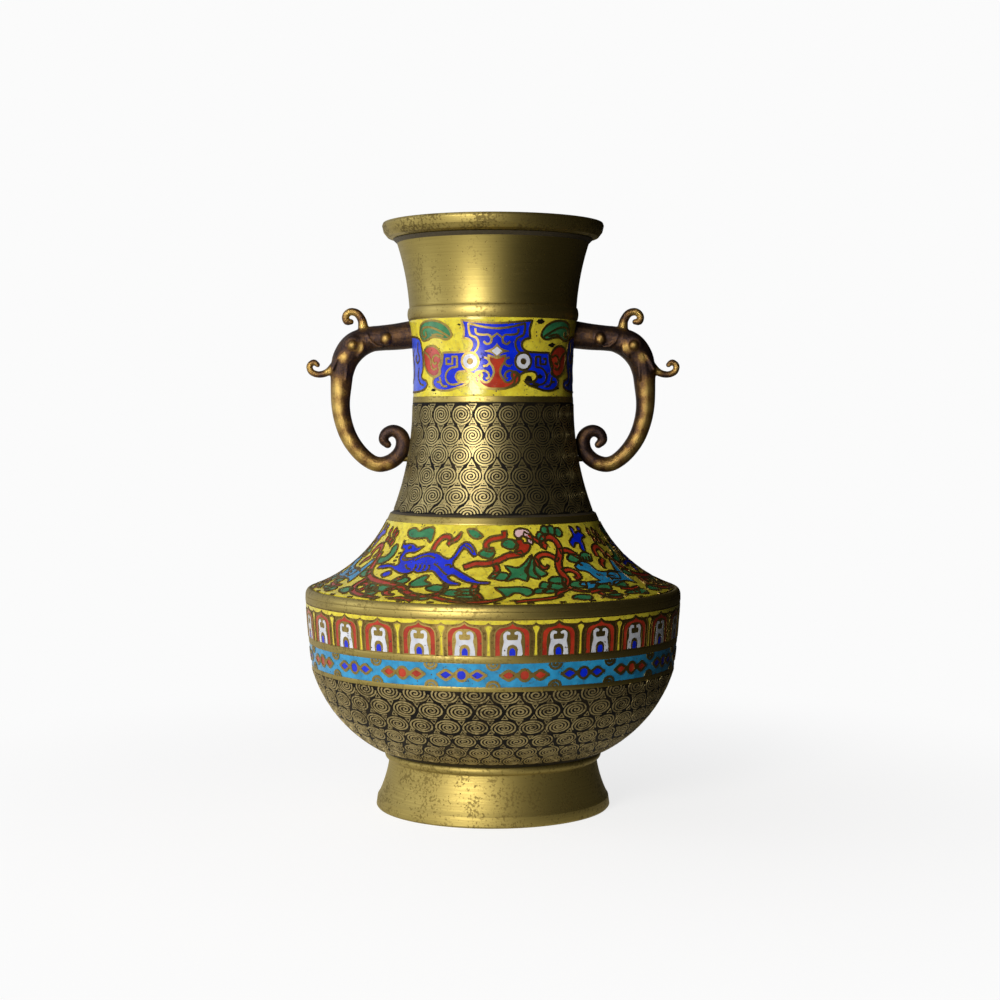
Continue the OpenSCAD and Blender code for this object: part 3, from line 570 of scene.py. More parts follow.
def fired_enamel(name, colour, deep, grime=0.3):
    """Opaque glass enamel, fired and ground flush: glossy and a little cloudy, with pinholes where gas
    came out and brown dirt ground into it. Pinholes are 0.3 to 0.5 mm, larger than the real ones, so
    that they show."""
    made, tree, shader = material(name)
    place = in_millimetres(tree)
    cloud = put(tree, "ShaderNodeTexNoise", {"Vector": place, "Scale": 1 / 5, "Detail": 5.0,
                                            "Roughness": 0.6})
    clouded = put(tree, "ShaderNodeMapRange", {"Value": cloud, "From Min": 0.35, "From Max": 0.7})
    body = put(tree, "ShaderNodeMix", {0: clouded, 6: linear(colour), 7: linear(deep)},
               data_type="RGBA")
    holes = put(tree, "ShaderNodeTexVoronoi", {"Vector": place, "Scale": 1 / 1.7})
    some = put(tree, "ShaderNodeTexNoise", {"Vector": place, "Scale": 1 / 4, "Detail": 2.0})
    wide = put(tree, "ShaderNodeMapRange", {"Value": some, "From Min": 0.42, "From Max": 0.68,
                                           "To Max": 0.3})
    left = put(tree, "ShaderNodeMath", {0: wide, 1: holes.outputs["Distance"]}, operation="SUBTRACT")
    hole = put(tree, "ShaderNodeMapRange", {"Value": left, "From Max": 0.05})
    soil = put(tree, "ShaderNodeTexNoise", {"Vector": place, "Scale": 1 / 2.2, "Detail": 8.0,
                                           "Roughness": 0.75})
    soiled = put(tree, "ShaderNodeMapRange", {"Value": soil, "From Min": 0.66 - 0.22 * grime,
                                             "From Max": 0.78 - 0.2 * grime, "To Max": 0.7})
    dirt = put(tree, "ShaderNodeMath", {0: hole, 1: soiled}, operation="MAXIMUM")
    shown = put(tree, "ShaderNodeMix", {0: dirt, 6: body.outputs[2], 7: linear("#3A2E1A")},
                data_type="RGBA")
    gloss = put(tree, "ShaderNodeMapRange", {"Value": dirt, "To Min": 0.2, "To Max": 0.6})
    dent = put(tree, "ShaderNodeBump", {"Height": hole, "Strength": 0.7, "Distance": 0.0002},
               invert=True)
    wave = put(tree, "ShaderNodeBump", {"Height": cloud, "Strength": 0.25, "Distance": 0.0003,
                                       "Normal": dent})
    feed(tree, shader, {"Base Color": shown.outputs[2], "Roughness": gloss, "IOR": 1.54,
                        "Normal": wave})
    return made


def ground(name, arc, from_z, to_z, finish, sunk=0.12):
    """The base enamel of a channel, a little below the metal on both sides of it."""
    return turned(name, [*flank(arc, from_z, to_z, 24, sunk),
                         *reversed(flank(arc, from_z, to_z, 24, 0.85))], finish, corner=0.05)


def cells_mesh(name, outlines, lift, deep=0.5, grid=2.6):
    """Flat cells with smooth outlines in millimetres, cut into small faces so that they bend with
    the band, their tops at lift and their undersides sunk into the base enamel."""
    work = bmesh.new()
    for outline in outlines:
        part = bmesh.new()
        part.faces.new([part.verts.new((p[0], p[1], 0)) for p in outline])
        bmesh.ops.recalc_face_normals(part, faces=part.faces)
        for axis in (0, 1):
            low, high = min(p[axis] for p in outline), max(p[axis] for p in outline)
            normal = (1, 0, 0) if axis == 0 else (0, 1, 0)
            for k in range(math.ceil(low / grid), math.floor(high / grid) + 1):
                spot = Vector(normal) * (k * grid + 0.013)
                bmesh.ops.bisect_plane(part, geom=part.verts[:] + part.edges[:] + part.faces[:],
                                       plane_co=spot, plane_no=normal, dist=1e-4)
        for face in part.faces:
            if face.normal.z < 0:
                face.normal_flip()
        bmesh.ops.triangulate(part, faces=[f for f in part.faces if len(f.verts) > 4])
        bmesh.ops.solidify(part, geom=part.faces[:], thickness=deep)
        flat = bpy.data.meshes.new("part")
        part.to_mesh(flat)
        part.free()
        work.from_mesh(flat)
        bpy.data.meshes.remove(flat)
    tops = max(v.co.z for v in work.verts)
    for vert in work.verts:
        vert.co = Vector((vert.co.x, vert.co.y, vert.co.z - tops + lift)) * MM
    mesh = bpy.data.meshes.new(name)
    work.to_mesh(mesh)
    work.free()
    return mesh


def round_cell(x, y, radius, tall=None, steps=20):
    """A round or oval outline."""
    return [(x + radius * math.cos(2 * math.pi * i / steps),
             y + (tall or radius) * math.sin(2 * math.pi * i / steps)) for i in range(steps)]


def ring(points):
    """A closed line from a closed outline."""
    return [*points, points[0]]


def shut(points, step=0.8):
    """A smooth closed outline through points."""
    return drawn(points, closed=True, step=step)


# ---- Belt of enamel ----
# Turquoise glass with a row of linked lozenges, red and blue by turns, and half rings of bare
# brass along both edges. The walls are ridges of the casting, ground flat and rubbed bright.
turquoise_glass = fired_enamel("turquoise_enamel_fired", "#2E97CC", "#1F78A8", grime=0.5)
red_glass = fired_enamel("brick_red_enamel_fired", "#B43A22", "#8C2316", grime=0.3)
cobalt_glass = fired_enamel("cobalt_enamel_fired", "#0A2CE0", "#051CAE", grime=0.1)
wall_brass = cast_brass("cell_wall_brass", "#B09A58", "#5A4824", age=0.45, rough=0.36, scratch=0.1)
dark_wall_brass = cast_brass("browned_cell_wall_brass", "#967F48", "#40311D", age=0.7, rough=0.42,
                             scratch=0.1)

drum_drawn_r, motif_count = 95, 20
motif_pitch = 2 * 2 * math.pi * drum_drawn_r / motif_count
motif_y, motif_turn = 5.7, 9.0
belt_ground = ground("belt_ground", drum_side, belt_z, belt_z + belt_h, turquoise_glass)
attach(belt_ground, "root")
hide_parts("belt_ground_enamel")


def lozenge(x, y, half_l, half_h):
    """A lozenge with slightly hollow sides."""
    near_l, near_h = half_l * 0.35, half_h * 0.75
    return shut([(x - half_l, y), (x - half_l, y), (x - near_l, y - near_h), (x, y - half_h),
                 (x + near_l, y - near_h), (x + half_l, y), (x + half_l, y), (x + near_l, y + near_h),
                 (x, y + half_h), (x - near_l, y + near_h)], step=0.6)


motif = [round_cell(0, motif_y, 2.3, steps=18), lozenge(-7.6, motif_y, 3.0, 1.7),
         lozenge(7.6, motif_y, 3.0, 1.7)]
for colour, finish, turn, node in (("red", red_glass, motif_turn, "belt_motifs_red"),
                                   ("cobalt", cobalt_glass, -motif_turn, "belt_motifs_blue")):
    motifs = laid("belt_motifs_" + colour, cells_mesh("motifs", motif, 0.0), drum_side, belt_z,
                  drum_drawn_r, finish, repeats=motif_count // 2, pitch=motif_pitch, turn=turn,
                  lines=False)
    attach(motifs, "root")
    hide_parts(node)

motif_lines = [ring(round_cell(0, motif_y, 2.75, steps=18))]
for s in (-1, 1):
    motif_lines += [ring(lozenge(s * 7.6, motif_y, 3.9, 2.3)),
                    drawn([(s * 2.8, motif_y + 0.9), (s * 3.8, motif_y + 0.35)], step=0.5),
                    drawn([(s * 2.8, motif_y - 0.9), (s * 3.8, motif_y - 0.35)], step=0.5),
                    [(s * 11.4, motif_y), (s * 12.2, motif_y)]]
half_rings = []
for edge, way in ((0, 1), (belt_h, -1)):
    half_rings.append([(motif_pitch / 4 + 2.9 * math.cos(a), edge + way * 2.7 * math.sin(a))
                       for a in [math.pi * i / 12 for i in range(13)]])
    half_rings.append([(motif_pitch / 4 + 1.2 * math.cos(a), edge + way * 1.1 * math.sin(a))
                       for a in [math.pi * i / 8 for i in range(9)]])
belt_walls = laid("belt_walls", lines_mesh("belt_walls", motif_lines + half_rings), drum_side,
                  belt_z, drum_drawn_r, wall_brass, repeats=motif_count, pitch=motif_pitch / 2,
                  turn=motif_turn, width=1.8, height=0.26, unevenness=0.18)
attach(belt_walls, "root")

# ---- Lappets ----
# Twenty-seven little gates of red, white and blue glass between yellow columns, with a scalloped
# yellow hem above. Here too every colour lies in its own cell, between thin walls of cast brass.
yellow_glass = fired_enamel("yellow_enamel_fired", "#E0D540", "#C9B52C", grime=0.6)
white_glass = fired_enamel("white_enamel_fired", "#D3D7E0", "#B6BCCB", grime=0.3)
lappet_count, lappet_turn = 27, 5.4
lappet_pitch = 2 * math.pi * drum_drawn_r / lappet_count
gate_half = 8.2


def mirrored(points):
    """A line or an outline turned over to the other side of its middle."""
    return [(-p[0], p[1]) for p in reversed(points)]


def both_sides(points):
    """An outline from its right half, run from bottom to top, mirrored to the left."""
    return [*points, *[(-p[0], p[1]) for p in reversed(points) if abs(p[0]) > 1e-6]]


gate = shut(both_sides([(gate_half, 0.3), (gate_half, 0.3), (gate_half, 8), (gate_half - 0.3, 11.5),
                        (gate_half - 2.2, 13.6), (3.2, 14.2), (1.2, 14.9), (0, 16), (0, 16)]))
opening = shut(both_sides([(5.4, 0.3), (5.4, 0.3), (5.6, 8), (4.8, 11), (2.6, 12.6), (0, 12.9)]))
figure_half = [(2.3, 0.4), (2.3, 0.4), (2.5, 3.4), (1.7, 5.2), (0, 5.9), (0, 5.9), (0, 8), (0, 8),
               (2.3, 8.1), (2.7, 9.4), (2.4, 10.6), (1.2, 10.5), (1.0, 11.5), (2.6, 12.1),
               (4.0, 11), (4.2, 9), (3.9, 7.4), (4.6, 4), (4.9, 0.4), (4.9, 0.4)]
figure_right = shut(figure_half, step=0.6)
door = shut(both_sides([(1.6, 0.4), (1.6, 0.4), (1.65, 2.8), (0.9, 4.1), (0, 4.4)]), step=0.6)
column_x = lappet_pitch / 2
column = shut([(column_x - 1.0, 0.3), (column_x - 1.0, 0.3), (column_x - 0.8, 6),
               (column_x - 0.9, 11), (column_x - 1.9, 14), (column_x, 14.9), (column_x + 1.9, 14),
               (column_x + 0.9, 11), (column_x + 0.8, 6), (column_x + 1.0, 0.3),
               (column_x + 1.0, 0.3)])

lappet_ground = ground("lappet_ground", drum_side, lappet_z, ridge_z, dark_wall_brass, sunk=0.05)
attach(lappet_ground, "root")
hem = shut([(-column_x, 17.1), (-column_x, 17.1), (-column_x, 16.2), (-column_x + 1.8, 15.2),
            (-2.4, 15.6), (0, 17.0), (0, 17.0), (2.4, 15.6), (column_x - 1.8, 15.2),
            (column_x, 16.2), (column_x, 17.1), (column_x, 17.1)])
lappet_parts = (
    ("lappet_columns_yellow", yellow_glass, [column, hem], 0.02, "yellow_enamel",
     ["lappet_ground_enamel"]),
    ("lappet_gates_red", red_glass, [gate], 0.02, "red_enamel", ["lappet_arches_red"]),
    ("lappet_gateways_brass", wall_brass, [opening], 0.05, "polished_brass", []),
    ("lappet_figures_white", white_glass, [figure_right, mirrored(figure_right)], 0.09,
     "white_enamel", ["lappet_figures_white"]),
    ("lappet_doors_blue", cobalt_glass, [door], 0.12, "cobalt_enamel", ["lappet_doors_blue"]))
for name, finish, outlines, lift, slot, nodes in lappet_parts:
    lappets = laid(name, cells_mesh(name, outlines, lift, grid=4), drum_side, lappet_z,
                   drum_drawn_r, finish, repeats=lappet_count, pitch=lappet_pitch,
                   turn=lappet_turn, lines=False)
    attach(lappets, "root")
    if nodes:
        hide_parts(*nodes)
lappet_walls = laid("lappet_walls", lines_mesh("lappet_walls",
                    [ring(gate), ring(opening), ring(column), ring(door)]), drum_side, lappet_z,
                    drum_drawn_r, wall_brass, repeats=lappet_count, pitch=lappet_pitch,
                    turn=lappet_turn, width=0.8, height=0.2, unevenness=0.15)
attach(lappet_walls, "root")

# ---- Shoulder ----
# A cast brass cap, hollow in profile like a bell, with a rounded brow where it meets the drum and
# a plain ring at the top. Beasts and flowering vines in enamel run three times round it.
ring_top_h, brow_h, brow_in = 3.5, 3.5, 2.4
neck_z, neck_low_r = shoulder_high.z / MM, 51.9
shoulder_top_r, neck_bore_r = 53.2, 49
shoulder_side = arc_of((ridge_r - brow_in, shoulder_z + brow_h), (shoulder_top_r, neck_z), -6)
field_z, field_top_z = shoulder_z + brow_h + 0.4, neck_z - ring_top_h
shoulder = turned("shoulder_turned", [
    *[(ridge_r - brow_in * (1 - math.cos(t)), shoulder_z + brow_h * math.sin(t))
      for t in [math.pi / 2 * i / 10 for i in range(10)]],
    *flank(shoulder_side, field_z, field_top_z, 30, channel),
    *flank(shoulder_side, field_top_z, neck_z, 4), (neck_bore_r, neck_z), (neck_bore_r, neck_z - 3),
    *reversed(flank(shoulder_side, field_z + 1, neck_z - 3, 24, wall)), (ridge_r - 5, shoulder_z)],
    turned_brass, corner=0.3)
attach(shoulder, "root")
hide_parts("shoulder_casting")

green_glass = fired_enamel("green_enamel_fired", "#3A8656", "#256544", grime=0.4)
pink_glass = fired_enamel("pink_enamel_fired", "#E3C3C9", "#CFA7B0", grime=0.3)
worn_yellow = fired_enamel("worn_yellow_enamel_fired", "#E3D843", "#CDB92F", grime=0.62)

# The pattern is drawn flat at this radius, its foot at this height, and cut off this far above it
shoulder_drawn_r, pattern_z, pattern_top = 70, 112.1, 54.6


def strip(points, width, taper=0.35):
    """Outline of a stem of even width along a smooth line, narrowing at its end."""
    line = drawn(points, step=1.2)
    left, right = [], []
    for i, here in enumerate(line):
        ahead = line[min(i + 1, len(line) - 1)] - line[max(i - 1, 0)]
        share = i / (len(line) - 1)
        half_w = width * 0.66 * (1 - (1 - taper) * max(0.0, share - 0.75) / 0.25)
        out = Vector((-ahead.y, ahead.x)).normalized() * half_w
        left.append(here + out)
        right.append(here - out)
    return left + right[::-1]


blue_beast = shut([
    (-58, 45.6), (-58, 45.6), (-55.6, 43.4), (-52, 43.8), (-48, 43.4), (-45, 42), (-40.6, 42.9),
    (-40.6, 42.9), (-42.8, 40.6), (-45.4, 38.8), (-49, 38.6), (-51, 37.4), (-49.6, 35.4), (-46.6, 35.5),
    (-43.5, 36.4), (-40, 38.3), (-35, 39.7), (-30, 39), (-27, 37.2), (-23.5, 35.8), (-21.4, 37.4),
    (-20, 40.6), (-18.6, 43.8), (-16, 45.8), (-13, 45.3), (-10.4, 42.6), (-8.4, 38.4), (-8.4, 38.4),
    (-10.2, 37.6), (-12.4, 39.6), (-14.8, 42), (-16.8, 41.4), (-18.4, 38), (-20.2, 34.4),
    (-19.6, 31), (-17, 29.2), (-14.4, 27.2), (-10.4, 24.2), (-6.4, 21.4), (-1.4, 20.9), (-1.4, 20.9),
    (-1.8, 19.4), (-6, 19.3), (-11, 20.4), (-15, 22.8), (-18.6, 25.4), (-20.8, 24.4), (-18, 21.2),
    (-14.4, 19.6), (-14.4, 18.2), (-14.4, 18.2), (-18.4, 18.3), (-22, 20.5), (-26, 24.6), (-29.4, 27.6),
    (-33, 27.2), (-37, 26.2), (-39.6, 27), (-42, 25.4), (-46.5, 25.2), (-51, 26.8), (-55.6, 28.4),
    (-60.4, 27.4), (-64.4, 27.2), (-63.4, 29.4), (-57.4, 30.6), (-52.6, 30), (-51.4, 31.6),
    (-53.4, 34.6), (-54, 37.6), (-53.6, 40), (-56.4, 41)])
blue_paw = shut([(-57, 23.2), (-54.4, 21.5), (-51.6, 24), (-53.2, 26.2), (-56, 25.2)])
dark_flower = shut([
    (51.6, 53.6), (51.6, 53.6), (54.4, 52.6), (55, 49.8), (58.2, 50.6), (62.4, 47.8), (58.4, 46.4),
    (57.2, 42.2), (55.4, 38.8), (53.4, 40.8), (54.4, 43.6), (51.4, 44.2), (48.6, 41.8), (47.4, 44.8),
    (49.6, 47), (52.2, 48.6)])
dark_petal = shut([(58.6, 53.2), (61, 52.6), (60.6, 50.8), (58.4, 51.2)])
turquoise_beast = shut([
    (42.6, 29.9), (42.6, 29.9), (45, 31.6), (47, 33), (50, 32.4), (52.4, 31), (53.4, 28),
    (55.2, 25.6), (60, 24.8), (64, 25.4), (67.4, 24.6), (69.4, 28), (71.4, 32.2), (73.6, 32.4),
    (72.8, 28), (72.2, 23.6), (72.4, 19), (72.2, 14.6), (72.2, 14.6), (70.2, 16.4), (66.4, 17.6),
    (61, 16.6), (57.4, 15.4), (54.8, 15.2), (56, 17.4), (52.4, 17), (47.4, 16.4), (44.4, 14.2),
    (40.4, 13.6), (41.4, 15.6), (38.8, 16.8), (39.4, 18.2), (45.4, 18.6), (51, 19.2), (49.6, 22.2),
    (48.4, 25.8), (45.8, 27.4), (44, 27.6)])
pink_flower = shut([(13.4, 49.4), (13.6, 52), (17.6, 52.8), (21.6, 51.6), (23, 48), (22.2, 44.8),
                    (20.6, 45.4), (20, 48.4), (17.4, 49.6), (15.2, 48.4)])
tulip = shut([(12.2, 46.4), (12.2, 46.4), (14.6, 44.6), (13.8, 42), (12, 40.2), (16, 39.2),
              (19.4, 41.4), (20.6, 44.6), (17.4, 45), (16.6, 47), (16.6, 47)])
vines = [
    strip([(-73, 37), (-71, 31), (-68.4, 25.4), (-63.6, 20.8), (-56, 18.4), (-48, 17.2),
           (-41.4, 15.8), (-36.4, 11.8), (-31, 8.8), (-25, 8.8), (-20.8, 12), (-19.8, 16.4),
           (-21.2, 19.4)], 2.5),
    strip([(-47.4, 18.2), (-44.4, 21.6), (-41.8, 24)], 1.6),
    strip([(-36.6, 12.4), (-38.4, 14.8), (-42.4, 14.4), (-45, 11.6), (-43.6, 8.4), (-40, 8)], 2.3),
    strip([(-34, 40.6), (-33.4, 44.4), (-30.6, 48), (-27, 48.6), (-24.8, 46.4), (-26.2, 44)], 2.2,
          0.8),
    strip([(-14.4, 30.6), (-9, 33), (-3, 33.2), (2, 34.8), (7.4, 37.8), (12, 38.6), (16, 39.4)], 2.5,
          1.0),
    strip([(0.8, 33.2), (2, 29.4), (0.4, 25.8), (-1.8, 23.6)], 2.0),
    strip([(6.6, 52), (6.6, 49), (3, 48.2), (-1.6, 47.2), (-4.2, 44.6), (-3, 42), (0.4, 41.8)], 2.2,
          0.8),
    strip([(30.8, 42.6), (28.6, 44.4), (30.4, 47.6), (34.4, 48.4), (37.8, 46), (38.6, 42),
           (36.8, 37.6), (34, 33), (33, 27.6), (33.6, 22), (31.8, 17.4), (34, 13.4), (40, 11)], 2.7),
    strip([(34.6, 34.8), (30.6, 38), (26, 38.2), (23, 36), (23.2, 31.8), (26, 29.8), (28, 31.6)],
          2.2),
    strip([(38, 40), (42.6, 40.2), (46.4, 38), (49, 34.6)], 2.2),
    strip([(34.2, 27.4), (37.8, 28.2), (41, 26), (40.8, 22.8), (38.4, 22)], 2.2, 0.8),
    strip([(-7.4, 19), (-7.6, 13), (-4.2, 6.8)], 2.2),
    strip([(62.8, 35.4), (64.2, 40), (68.8, 41.2), (71.2, 37.4), (69, 34)], 2.4),
    strip([(8, 3.8), (14, 5.2), (21, 6.4), (27, 8.8)], 1.8),
    strip([(-64, 19.6), (-66, 13), (-61, 7.6), (-53, 5.2), (-45, 4.4)], 2.3),
    strip([(-60, 8.4), (-58, 12.6), (-61, 15.6), (-64, 13.4)], 2.0),
    strip([(-24, 8.6), (-17, 5), (-9, 3.6), (-1, 4.6), (4, 8)], 2.2),
    strip([(-30, 3.4), (-35, 5.4), (-40, 4.2)], 1.9),
    strip([(33.6, 15.6), (28, 12.6), (24.6, 9.2)], 2.0),
    strip([(40, 10.6), (47, 11.6), (53, 9.4)], 2.0),
    strip([(44, 10.4), (46, 5.4), (52, 3.4)], 2.0),
    strip([(66, 33.6), (62, 31), (61, 27.6)], 2.2),
    strip([(58, 12.4), (64, 10), (70, 11.6)], 2.2),
    strip([(18.4, 50.4), (25, 47), (28.4, 43.8)], 1.8),
    strip([(-24.8, 45.6), (-21, 47.8), (-19, 51.4)], 1.8),
    *[shut([(x - 1.5, y), (x, y + 2.2), (x + 1.6, y + 0.5), (x + 0.6, y - 2.1), (x - 1, y - 1.6)])
      for x, y in ((-72.2, 50), (-68.6, 48.4), (-72, 44.8), (-68.2, 43.4), (70.4, 45.6), (68.4, 50))]]
leaves = [
    shut([(20.6, 38), (20.6, 38), (16.2, 33.2), (12, 30.2), (6.2, 31.6), (6.2, 31.6), (8.6, 27.2),
          (5.8, 21.8), (5.8, 21.8), (10.8, 23.8), (14.6, 21.6), (14.6, 21.6), (15.6, 25.4),
          (14.8, 28.4), (17.6, 33)]),
    shut([(20.8, 36.8), (18.6, 32), (16.8, 28), (17.4, 24.8), (20.8, 23.2), (19, 27.6), (20.2, 32)]),
    shut([(22, 36), (21, 31.6), (20.6, 27.4), (22.4, 24.8), (25.2, 26.4), (22.8, 29), (22.8, 33)]),
    shut([(1.2, 16.4), (1.2, 16.4), (6, 16.2), (11, 16.6), (15, 15.2), (15.4, 11.8), (12.8, 9.6),
          (11.2, 12), (8, 12.4), (5.2, 9.2), (3.8, 12.4)]),
    shut([(16.6, 12), (18, 14.8), (20.6, 15), (20, 12.4)]),
    shut([(20, 16.6), (22, 20), (24.2, 18.6), (22.8, 15.8)]),
    shut([(20.6, 13.4), (24.8, 14), (24.4, 12.2), (21, 11.8)]),
    shut([(-57.6, 50.8), (-53, 52.2), (-48.6, 50.6), (-44.6, 52.4), (-38.4, 52.6), (-37.4, 48.8),
          (-37.8, 45.6), (-41, 47.8), (-46, 47.6), (-51, 47.2), (-55.4, 48.2)]),
    shut([(-15.6, 52.6), (-15.6, 52.6), (-11, 52.4), (-6.2, 49.2), (-6.2, 49.2), (-9.6, 48.2),
          (-13, 49.6)]),
    shut([(-62, 42.4), (-59.8, 38), (-62, 32.6), (-67.4, 30.6), (-70.6, 33.4), (-66.2, 34.4),
          (-63.8, 37.4), (-64.4, 41)]),
    shut([(-36.6, 18.8), (-33, 23.6), (-30.6, 24.2), (-31.2, 20.8), (-27.8, 18.4), (-31.4, 16.6),
          (-35.6, 16.4)]),
    *[shut([(x - 2.3, y - 0.4), (x - 1, y + 2), (x + 1.5, y + 1.7), (x + 2.2, y - 0.6), (x, y - 2)])
      for x, y in ((28.8, 48.6), (32.4, 51.8), (37, 51.8), (41.6, 50.6), (-31.6, 7.4), (-27, 6.6),
                   (-56, 13.4), (-51.6, 8.2), (-53.2, 11))],
    *[shut([(x - 3.8, y), (x - 1, y + 2.6), (x + 3.8, y + 1.4), (x + 1.6, y - 2.1)])
      for x, y in ((-43, 19.8), (-24, 15), (-48.4, 12.8), (-70, 22.6), (-16.6, 11.4), (29, 20.8),
                   (27.4, 16), (37.6, 17), (49, 13.6), (62.6, 21.6), (44.6, 34.8), (53.6, 35.4),
                   (9, 44.4), (-3.4, 39), (60.4, 14.6), (66.6, 6.6), (34.6, 6), (-68, 8), (3, 24.6))],
    *[shut([(-14.6, y), (-10, y + 0.9), (-6.2, y + 0.2), (-9.6, y - 0.9)])
      for y in (5.4, 8.6, 11.8, 14.6)],
    *[shut([(x, y), (x + 5, y + 0.9), (x + 8.6, y), (x + 4.6, y - 1)])
      for x, y in ((45, 6.4), (57, 7.4))]]


def plump(outline, by=0.5):
    """The outline grown outwards by a distance in millimetres."""
    count = len(outline)
    area = sum(outline[i - 1][0] * outline[i][1] - outline[i][0] * outline[i - 1][1]
               for i in range(count))
    grown = []
    for i in range(count):
        run = Vector(outline[(i + 1) % count][:2]) - Vector(outline[i - 1][:2])
        out = Vector((run.y, -run.x)).normalized() * math.copysign(by, area)
        grown.append(Vector(outline[i][:2]) + out)
    return grown


field = ground("shoulder_ground", shoulder_side, field_z, field_top_z, worn_yellow, sunk=0.14)
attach(field, "root")
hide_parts("shoulder_ground_enamel")
pattern_repeats = 3
repeat_pitch = 2 * math.pi * shoulder_drawn_r / pattern_repeats
shoulder_cells = (
    ("shoulder_beasts_blue", cobalt_glass, [blue_beast, blue_paw, dark_flower, dark_petal],
     "cobalt_enamel", ["shoulder_beasts_blue"]),
    ("shoulder_beasts_turquoise", turquoise_glass, [plump(turquoise_beast, 0.35)],
     "turquoise_enamel", ["shoulder_beasts_turquoise"]),
    ("shoulder_vines_red", red_glass, [*vines, plump(tulip)], "red_enamel", ["shoulder_vines_red"]),
    ("shoulder_leaves_green", green_glass, [plump(o) for o in leaves], "green_enamel",
     ["shoulder_leaves_green"]),
    ("shoulder_flowers_pink", pink_glass, [plump(pink_flower)], "white_enamel", []))
for name, finish, outlines, slot, nodes in shoulder_cells:
    lift = 0.06 if "beasts" in name else 0.0
    cells = laid(name, cells_mesh(name, outlines, lift), shoulder_side, pattern_z,
                 shoulder_drawn_r, finish, repeats=pattern_repeats, pitch=repeat_pitch, lines=False)
    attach(cells, "root")
    if nodes:
        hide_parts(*nodes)

beast_marks = [
    drawn([(-42.4, 34), (-39.4, 36.2), (-35, 37.2), (-31, 36)]),
    drawn([(-51.2, 36.6), (-51.2, 34.6), (-48.4, 33.8), (-44.6, 34.6)]),
    drawn([(-30.4, 32.6), (-27, 30.4), (-24, 27.4), (-21.6, 25.4)]),
    drawn([(-24.2, 31.8), (-21.8, 32.2), (-20.6, 30.2)]),
    drawn([(-15.6, 44.4), (-12.4, 42.6), (-10.6, 39.8)]), drawn([(-16.8, 43), (-13.6, 41.2)]),
    *[drawn([(x, 31.6), (x + 0.9, 29.8), (x + 0.4, 27.8)]) for x in (-40.6, -38, -35.4, -32.8)],
    drawn([(-46.6, 31.2), (-44.6, 29), (-42, 28.2)]),
    ring(round_cell(-50.4, 41.6, 0.9, 0.6, 8)),
    *[[(x, 33.2), (x + 1.1, 36)] for x in (50.2, 52.4, 54.6)],
    *[[(x, y), (x - 1.8, y - 0.6)]
      for x, y in ((-54.2, 31), (-54.8, 33.4), (-55.2, 35.8), (-55, 38.2))],
    drawn([(57, 21.4), (60.4, 22.2), (63, 21.2)]), drawn([(58, 19.4), (61.4, 20), (64.4, 19)]),
    drawn([(66, 23.4), (68.6, 24.2), (70.6, 23.2)]),
    *[[(x, 24.2), (x + 1.4, 22.4)] for x in (52, 54)],
    drawn([(44, 17.6), (49, 17.6)]),
    *[[(x, 2.4 + 1.1 * (x % 4)), (x + 2.6, 2.8 + 1.4 * (x % 4))] for x in range(-72, 70, 6)],
    ring(round_cell(46.8, 31, 0.7, 0.5, 8))]
shoulder_walls = laid(
    "shoulder_walls",
    lines_mesh("shoulder_walls", [ring(o) for _, _, outlines, _, _ in shoulder_cells
                                  for o in outlines] + beast_marks,
               low=field_z - pattern_z + 0.3, high=pattern_top),
    shoulder_side, pattern_z, shoulder_drawn_r, dark_wall_brass, repeats=pattern_repeats,
    pitch=repeat_pitch, width=1.55, height=0.3, unevenness=0.22)
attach(shoulder_walls, "root")

# ---- Neck ----
# One tall casting, spigoted into the shoulder and soldered there. Below, it carries scrolls in
# relief on a black ground; above, a plain ring and a channel of enamel with two beast masks.
band_ring_h, band_rim_h = 3, 0.5
waist_r, neck_top_r = 41.6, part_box("collar_ring")[1].x / MM - 0.7
collar_z, collar_top_z = [z / MM for z in (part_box("collar_ring")[0].z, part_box("collar_ring")[1].z)]
scroll_top_z, spigot_r = 207.3, 50.5
neck_side = arc_of((neck_low_r, neck_z), (waist_r, scroll_top_z), -2.7)
band_side = arc_of((waist_r, scroll_top_z), (neck_top_r, collar_z), -1.2)
enamel_z, enamel_top_z = scroll_top_z + band_ring_h, collar_z - band_rim_h
neck = turned("neck_turned", [
    *flank(neck_side, neck_z, scroll_top_z, 50), (waist_r - wall, scroll_top_z),
    *reversed(flank(neck_side, neck_z - 2, scroll_top_z - 1, 40, wall)), (neck_bore_r, neck_z - 4),
    (spigot_r, neck_z - 4), (spigot_r, neck_z)], ground_black)
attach(neck, "root")
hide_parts("neck_casting")
neck_band = turned("neck_band_turned", [
    *flank(band_side, scroll_top_z, enamel_z, 3),
    *flank(band_side, enamel_z, enamel_top_z, 24, channel),
    *flank(band_side, enamel_top_z, collar_z, 1),
    *reversed(flank(band_side, scroll_top_z, collar_z, 16, wall))], turned_brass, corner=0.2)
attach(neck_band, "root")

